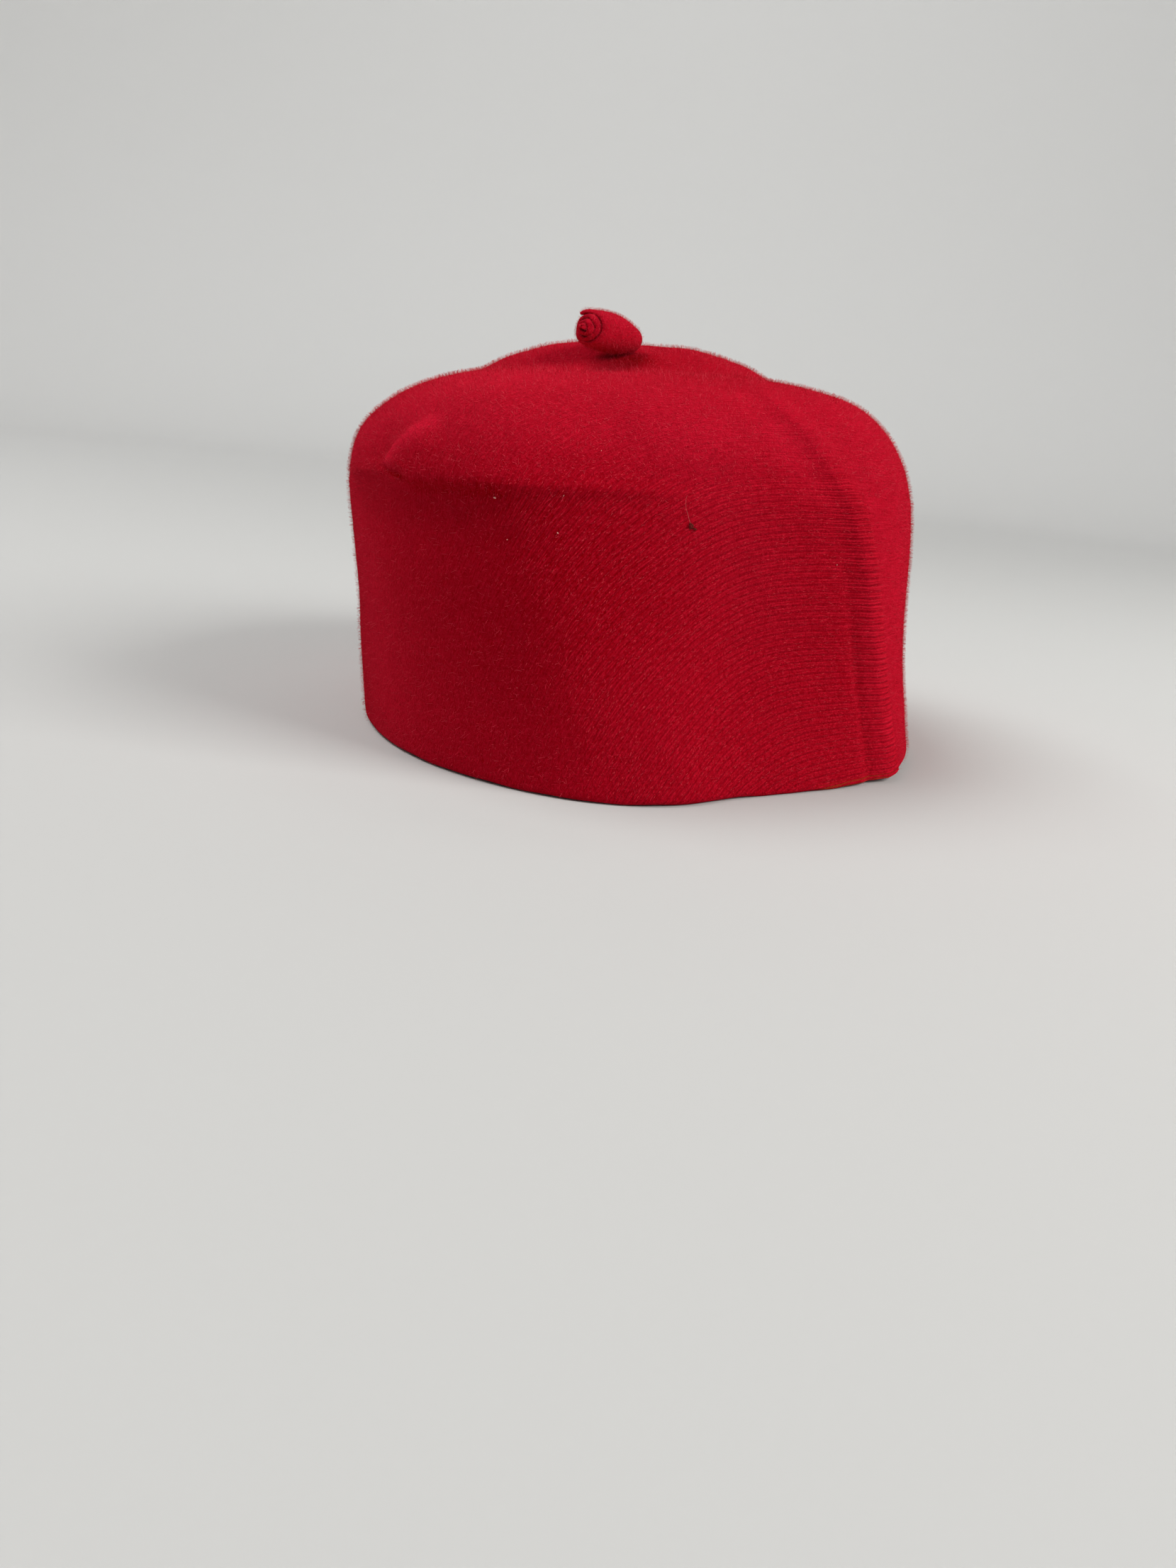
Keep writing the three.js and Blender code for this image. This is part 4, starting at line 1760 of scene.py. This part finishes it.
@dataclass
class TopRoll:
    """The strip of felt rolled up on itself and sewn to the crown, its core standing out at the free end.

    soft_waves and ragged_waves hold the size of each small wave, its run along the winding, and its run along
    the roll or its start. flap_loose and flap_cut are how far before the strip's end, in windings, the end
    comes loose and its corner rises.
    """

    strip_thickness: float = 1.3
    winding_gap: float = 0.14
    core_radius: float = 0.45
    windings: float = 3.45
    steps: int = 150
    length: float = 21.2
    wide: float = 1.05
    tall: float = 0.94
    foot_scale: float = 0.68
    foot_length: float = 12.0
    tip_scale: float = 0.94
    tip_length: float = 8.0
    core_reach: float = 4.8
    flap_lift: float = 0.35
    flap_turn: float = 30.0
    flap_corner: float = 0.8
    flap_loose: tuple[float, float] = (0.2, 0.03)
    flap_cut: tuple[float, float] = (0.12, 0.06)
    soft_waves: tuple[tuple[float, float, float], ...] = ((0.1, 9.0, 5.0), (0.07, 23.0, -3.0))
    ragged_waves: tuple[tuple[float, float, float], ...] = ((0.3, 11.0, 1.0), (0.2, 26.0, 0.0))
    # The roll's paler colour is partly painted light and partly a paler nap, as on the crown.
    paleness: float = 1.6
    heading: float = -95.0
    pitch: float = 1.0
    foot_x: float = -19.4
    foot_y: float = 4.6
    sink: float = 0.5
    face_steps: int = 14
    edge_steps: int = 5

    def outer_radius(self) -> float:
        """Radius of the outer winding's middle."""
        return self.core_radius + (self.strip_thickness + self.winding_gap) * self.windings

    def near_end(self, before: tuple[float, float], winding: Array) -> Array:
        """Rises from 0 to 1 between two distances before the strip's end, in windings."""
        return smooth_step(self.windings - before[0], self.windings - before[1], winding)

    def section(self) -> tuple[Array, Array]:
        """Places round the strip's cross-section: up its outer face, over its rounded edge and down again.

        Returns:
            The share of the length, and the offset across the strip as a share of half its thickness.
        """
        up = np.linspace(0.0, 1.0, self.face_steps)
        bend = np.linspace(0.0, math.pi, self.edge_steps + 2)[1:-1]
        half = self.strip_thickness / 2.0
        share = np.concatenate([up, 1.0 + np.sin(bend) * half / self.length, up[::-1]])
        offset = np.concatenate([np.ones_like(up), np.cos(bend), -np.ones_like(up)])
        return share, offset

    def placed(self, points: Array) -> Array:
        """Turns points from the roll's own axis to its place on the crown.

        Args:
            points: points with the roll's axis along +Z and its foot at the origin.

        Returns:
            The points on the cap, seated where the solid is.
        """
        heading = math.radians(self.heading)
        pitch = math.radians(self.pitch)
        axis = Vector((
            math.sin(heading) * math.cos(pitch),
            -math.cos(heading) * math.cos(pitch),
            math.sin(pitch),
        ))
        turn = np.array(Vector((0.0, 0.0, 1.0)).rotation_difference(axis).to_matrix())
        turned = points @ turn.T
        low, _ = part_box("top_roll")
        turned[:, 0] += self.foot_x
        turned[:, 1] += self.foot_y
        turned[:, 2] += low.z / MM - self.sink - turned[:, 2].min()
        return turned

    def build(self) -> Object:
        """Builds the roll with its grain along the winding.

        Returns:
            The roll, without its finish.
        """
        share, offset = self.section()
        winding = np.linspace(0.0, self.windings, self.steps)[:, None]
        loose = self.near_end(self.flap_loose, winding)
        pitch = self.strip_thickness + self.winding_gap
        middle = self.core_radius + pitch * winding + self.flap_lift * loose
        soft = sum(size * np.sin(wound * winding + run * share) for size, wound, run in self.soft_waves)
        radius = middle + offset * self.strip_thickness / 2.0 + soft
        angle = math.radians(self.flap_turn) + 2.0 * math.pi * (winding - self.windings)
        along = share * self.length
        from_foot = np.clip(along / self.foot_length, 0.0, 1.0)
        from_tip = np.clip((self.length - along) / self.tip_length, 0.0, 1.0)
        at_foot = self.foot_scale + (1.0 - self.foot_scale) * np.sin(from_foot * math.pi / 2.0)
        narrow = at_foot * (self.tip_scale + (1.0 - self.tip_scale) * np.sin(from_tip * math.pi / 2.0))
        inwards = 1.0 - radius / self.outer_radius()
        ragged = sum(size * np.sin(wound * winding + start) for size, wound, start in self.ragged_waves)
        corner = self.flap_corner * self.near_end(self.flap_cut, winding)
        height = along + (self.core_reach * inwards + ragged + corner) * share
        x = radius * narrow * np.cos(angle) * self.tall
        y = radius * narrow * np.sin(angle) * self.wide
        local = np.stack(np.broadcast_arrays(x, y, height), axis=-1)
        count = len(share)
        points = self.placed(local.reshape(-1, 3))
        faces = ring_faces(self.steps, count)
        faces.append(tuple(range(count)))
        faces.append(tuple(reversed(range((self.steps - 1) * count, self.steps * count))))
        roll = mesh_object("top_roll_felt", points, outward(points, faces))
        wound = np.broadcast_to(2.0 * math.pi * middle * winding, height.shape).ravel()
        around = np.stack(np.broadcast_arrays(-np.sin(angle), np.cos(angle), np.zeros_like(height)), axis=-1)
        from_origin = self.placed(np.concatenate([np.zeros((1, 3)), around.reshape(-1, 3)]))
        write_attribute(roll.data, "rib_along", wound)
        write_attribute(roll.data, "rib_across", height.ravel())
        write_attribute(roll.data, "paleness", np.full(len(points), self.paleness))
        write_attribute(roll.data, "grain", from_origin[1:] - from_origin[:1])
        return roll

    def dress(self, roll: Object, finish: Material) -> None:
        """Gives the roll its finish and puts it in the solid's place.

        Args:
            roll: the built roll.
            finish: its material.
        """
        roll.data.materials.append(finish)
        settle(roll)
        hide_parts("top_roll")


# Stray bits

@dataclass(frozen=True)
class Fleck:
    """One fleck caught in the nap: its place, and its length, width and height in millimetres."""

    turn: float
    station: float
    length: float
    width: float
    height: float


FLECKS = (
    Fleck(-70.6, 72.7, 0.7, 0.5, 0.45),
    Fleck(-71.9, 63.0, 0.38, 0.22, 0.24),
    Fleck(-63.6, 65.3, 0.42, 0.24, 0.26),
    Fleck(-60.2, 73.7, 0.42, 0.22, 0.26),
    Fleck(-78.2, 26.9, 0.3, 0.18, 0.2),
    Fleck(-50.6, 84.2, 0.36, 0.2, 0.22),
    Fleck(-10.9, 60.2, 0.3, 0.18, 0.2),
)
BURR = (
    Fleck(-40.7, 67.8, 1.5, 1.3, 0.8),
    Fleck(-40.2, 67.1, 1.0, 0.6, 0.6),
    Fleck(-41.1, 67.3, 0.9, 0.5, 0.6),
)

# Turn and station of each place that the hair passes.
STRAY_HAIR = (
    (-40.7, 67.6), (-40.7, 69.0), (-40.6, 70.2), (-40.5, 71.6),
    (-40.1, 72.9), (-39.6, 74.0), (-39.0, 74.8),
)


@dataclass
class Lint:
    """Stray bits in the nap: pale flecks, a dark burr and the hair that hangs in it."""

    form: CapForm
    hair_radius: float = 0.06
    hair_taper: float = 0.6
    hair_bow: float = 0.25
    hair_points: int = 25
    hair_sides: int = 5
    stands_off: float = 0.26
    roughness: float = 0.22
    lumps: NoiseKind = NoiseKind(2300.0, 1.0)
    lump_gain: float = 3.0
    widest_slant: float = 3.1
    ball_detail: int = 3
    seed: int = 21

    def flecks(self, name: str, flecks: Sequence[Fleck], tree: PieceTree, finish: Material) -> Object:
        """Makes a few flecks as one piece.

        Args:
            name: the piece's name.
            flecks: where they lie and how large they are.
            tree: the tree that makes them.
            finish: their material.

        Returns:
            The flecks as one mesh.
        """
        turn = np.array([fleck.turn for fleck in flecks])
        station = np.array([fleck.station for fleck in flecks])
        size = np.array([(fleck.length, fleck.width, fleck.height) for fleck in flecks])
        depth = np.full(turn.shape, -self.stands_off)
        piece = mesh_object(name, self.form.felt(turn, station, depth), [])
        write_attribute(piece.data, "fleck_size", size * MM / 2.0)
        write_attribute(piece.data, "fleck_normal", self.form.normal(turn, station))
        tree.apply(piece, {"Roughness": self.roughness * MM, "Seed": self.seed, "Finish": finish})
        settle(piece)
        return piece

    def tree(self) -> PieceTree:
        """The tree that puts a lumpy fleck at each point.

        Returns:
            The tree, with the lumps' height, the seed and the finish as its inputs.
        """
        tree = PieceTree("lint_flecks")
        roughness = tree.named("Roughness", "Float")
        seed = tree.named("Seed", "Int")
        finish = tree.named("Finish", "Material")
        points = tree.out("GeometryNodeMeshToPoints", "Points", {"Mesh": tree.group_in.outputs["Geometry"]})
        size = {"Radius": 1.0, "Subdivisions": self.ball_detail}
        ball = tree.out("GeometryNodeMeshIcoSphere", "Mesh", size)
        upright = tree.upright(tree.attribute("fleck_normal", "FLOAT_VECTOR"))
        placed = tree.out(
            "GeometryNodeInstanceOnPoints", "Instances",
            {"Points": points, "Instance": ball, "Scale": tree.attribute("fleck_size", "FLOAT_VECTOR"),
             "Rotation": tree.turned(upright, {"Z": tree.dice(0.0, self.widest_slant, seed, 1)})},
        )
        real = tree.out("GeometryNodeRealizeInstances", "Geometry", {"Geometry": placed})
        noise = self.lumps.plain(tree, tree.out("GeometryNodeInputPosition", "Position"))
        lump_height = tree.math("MULTIPLY", roughness, self.lump_gain)
        amount = tree.math("MULTIPLY", tree.math("SUBTRACT", noise, 0.5), lump_height)
        push = tree.add("ShaderNodeVectorMath", operation="SCALE")
        tree.feed(push.inputs[0], tree.out("GeometryNodeInputNormal", "Normal"))
        tree.feed(tree.socket(push.inputs, "Scale"), amount)
        moved = {"Geometry": real, "Offset": push.outputs["Vector"]}
        lumpy = tree.out("GeometryNodeSetPosition", "Geometry", moved)
        tree.close(lumpy, finish)
        return tree

    def hair(self, name: str, finish: Material) -> Object:
        """Lays the stray hair from the burr up the wall.

        Args:
            name: the piece's name.
            finish: its material.

        Returns:
            The hair as one mesh.
        """
        knots = np.array(STRAY_HAIR)
        along = np.linspace(0.0, 1.0, len(knots))
        fine = np.linspace(0.0, 1.0, self.hair_points)
        turn = SmoothCurve(along, knots[:, 0])(fine)
        station = SmoothCurve(along, knots[:, 1])(fine)
        lift = self.stands_off + self.hair_bow * np.sin(fine * math.pi)
        points = self.form.felt(turn, station, -lift)
        piece = mesh_object(name, points, [], [(i, i + 1) for i in range(len(points) - 1)])
        radius = self.hair_radius * (1.0 - self.hair_taper * fine)
        write_attribute(piece.data, "strand_radius", radius * MM)
        TubeTree.shared().apply(piece, {"Sides": self.hair_sides, "Finish": finish})
        settle(piece)
        return piece

    def build(self) -> None:
        """Makes the flecks, the burr and the hair."""
        tree = self.tree()
        self.flecks("lint_flecks", FLECKS, tree, PALE_LINT.material())
        self.flecks("lint_burr", BURR, tree, DARK_BURR.material())
        self.hair("lint_hair", STRAW.material())


# The studio

@dataclass(frozen=True)
class AreaLight:
    """One soft square light, in metres and watts, that faces the cap unless it has another target."""

    name: str
    place: tuple[float, float, float]
    power: float
    size: float
    colour: tuple[float, float, float] = (1.0, 1.0, 1.0)
    target: tuple[float, float, float] = (0.0, 0.0, 0.06)

    def build(self) -> Object:
        """Hangs the light, turned to its target.

        Returns:
            The light.
        """
        data = bpy.data.lights.new(self.name, "AREA")
        data.energy = self.power
        data.size = self.size
        data.color = self.colour
        lamp = bpy.data.objects.new(self.name, data)
        lamp.location = self.place
        lamp.rotation_euler = (Vector(self.target) - lamp.location).to_track_quat("-Z", "Y").to_euler()
        lamp.visible_camera = False
        bpy.context.scene.collection.objects.link(lamp)
        return lamp


@dataclass
class Studio:
    """A pale floor that curves up all round, soft lights and the camera at the photograph's angle.

    Its lengths are in metres, apart from the camera's sensor.
    """

    image_height: float = 2212.0
    focal_pixels: float = 1485.0
    pitch: float = 18.5
    roll: float = 6.06
    azimuth: float = -62.23
    camera_place: tuple[float, float, float] = (-0.32036, -0.1553, 0.0915)
    floor_radius: float = 1.7
    sweep_radius: float = 0.9
    wall_height: float = 2.6
    floor_drop: float = 0.0002
    floor_rings: tuple[float, ...] = (0.25, 0.7, 1.2)
    floor_columns: int = 96
    sweep_steps: int = 14
    sensor_width: float = 36.0
    clip: tuple[float, float] = (0.01, 20.0)
    sky_colour: Colour = (1.0, 1.0, 1.0, 1.0)
    sky_strength: float = 0.02
    lights: tuple[AreaLight, ...] = (
        AreaLight("key_light", (0.2, -1.2, 0.92), 20.5, 0.8, (1.0, 0.99, 0.97)),
        AreaLight("top_light", (-0.35, 0.7, 1.5), 22.0, 1.0),
        AreaLight("backdrop_light", (1.1, 0.65, 2.3), 12.0, 1.6, (1.0, 1.0, 1.0), (2.3, 1.3, 0.9)),
    )

    def floor(self) -> Object:
        """Builds the floor and its sweep.

        Returns:
            The floor.
        """
        bend = np.linspace(0.0, math.pi / 2.0, self.sweep_steps)
        columns = self.floor_columns
        wall_radius = self.floor_radius + self.sweep_radius
        swept = self.floor_radius + self.sweep_radius * np.sin(bend)
        radii = np.concatenate([self.floor_rings, swept, [wall_radius]])
        level = np.zeros(len(self.floor_rings))
        heights = np.concatenate([level, self.sweep_radius * (1.0 - np.cos(bend)), [self.wall_height]])
        angle = np.linspace(0.0, 2.0 * math.pi, columns, endpoint=False)
        rows = [np.stack([radius * np.cos(angle), radius * np.sin(angle), np.full(columns, height)], axis=-1)
                for radius, height in zip(radii, heights)]
        points = np.concatenate([np.zeros((1, 3)), *rows])
        points[:, 2] -= self.floor_drop
        faces = [(0, 1 + j, 1 + (j + 1) % columns) for j in range(columns)]
        faces += [(a, d, c, b) for a, b, c, d in ring_faces(len(rows), columns, 1)]
        sweep = mesh_object("studio_floor", points / MM, faces)
        sweep.data.materials.append(PAPER.material())
        return sweep

    def camera(self) -> Object:
        """Sets up the camera from the photograph's fitted view.

        Returns:
            The camera.
        """
        azimuth = math.radians(self.azimuth)
        pitch = math.radians(self.pitch)
        roll = math.radians(self.roll)
        away = Vector((-math.sin(azimuth), math.cos(azimuth), 0.0))
        right = Vector((math.cos(azimuth), math.sin(azimuth), 0.0))
        upright = math.sin(pitch) * away + Vector((0.0, 0.0, math.cos(pitch)))
        forward = math.cos(pitch) * away - Vector((0.0, 0.0, math.sin(pitch)))
        axis_x = math.cos(roll) * right + math.sin(roll) * upright
        axis_y = math.cos(roll) * upright - math.sin(roll) * right
        turn = Matrix((axis_x, axis_y, -forward)).transposed().to_4x4()
        data = bpy.data.cameras.new("camera")
        data.sensor_fit = "AUTO"
        data.sensor_width = self.sensor_width
        data.lens = self.focal_pixels / self.image_height * data.sensor_width
        data.clip_start, data.clip_end = self.clip
        eye = bpy.data.objects.new("camera", data)
        eye.matrix_world = Matrix.Translation(self.camera_place) @ turn
        bpy.context.scene.collection.objects.link(eye)
        bpy.context.scene.camera = eye
        return eye

    def build(self) -> None:
        """Builds the floor, the sky light, the lights and the camera."""
        self.floor()
        world = bpy.data.worlds.new("studio_sky")
        world.use_nodes = True
        sky = next(node for node in world.node_tree.nodes if node.type == "BACKGROUND")
        sky.inputs["Color"].default_value = self.sky_colour
        sky.inputs["Strength"].default_value = self.sky_strength
        bpy.context.scene.world = world
        bpy.context.scene.view_settings.view_transform = "Standard"
        for light in self.lights:
            light.build()
        self.camera()


def main() -> None:
    """Builds and dresses the cap piece by piece."""
    logging.basicConfig(level=logging.INFO, format="%(message)s")
    Studio().build()
    form = CapForm()
    knit = KnitField(form)
    felt = FELT.material()
    ribs = RIB_FELT.material()
    combed_fibres = COMBED_FIBRES.material()
    fuzz_fibres = FUZZ_FIBRES.material()
    wall_fibres = WALL_FIBRES.material()
    soft_fibres = SOFT_FIBRES.material()

    body = CapBody(form, knit)
    shell = body.build()
    combed = Nap(COMBED_NAP)
    soft = Nap(SOFT_NAP)
    fuzz = Nap(FUZZ)
    coats = {
        NapZone.RIBBED: (combed, combed_fibres, 0.4),
        NapZone.WALL_NEAR: (soft, wall_fibres, 0.5),
        NapZone.WALL_FAR: (soft, soft_fibres, 1.0),
        NapZone.CROWN: (soft, soft_fibres, 1.0),
    }
    for zone, (lying, lying_finish, fuzz_share) in coats.items():
        lying_mask = lying.zone_mask(shell.data, zone)
        fuzz_mask = fuzz.zone_mask(shell.data, zone) * fuzz_share
        lying.grow("cap_nap_" + zone.value, shell.data, lying_mask, lying_finish)
        fuzz.grow("cap_fuzz_" + zone.value, shell.data, fuzz_mask, fuzz_fibres)
    body.dress(shell, felt)
    KnitRibs(form, knit).build(ribs)

    roll = TopRoll()
    bud = roll.build()
    everywhere = np.ones(len(bud.data.vertices))
    soft.grow("top_roll_nap", bud.data, everywhere, soft_fibres)
    Nap(ROLL_FUZZ).grow("top_roll_fuzz", bud.data, everywhere, fuzz_fibres)
    roll.dress(bud, felt)
    Lint(form).build()


if __name__ == "__main__":
    main()
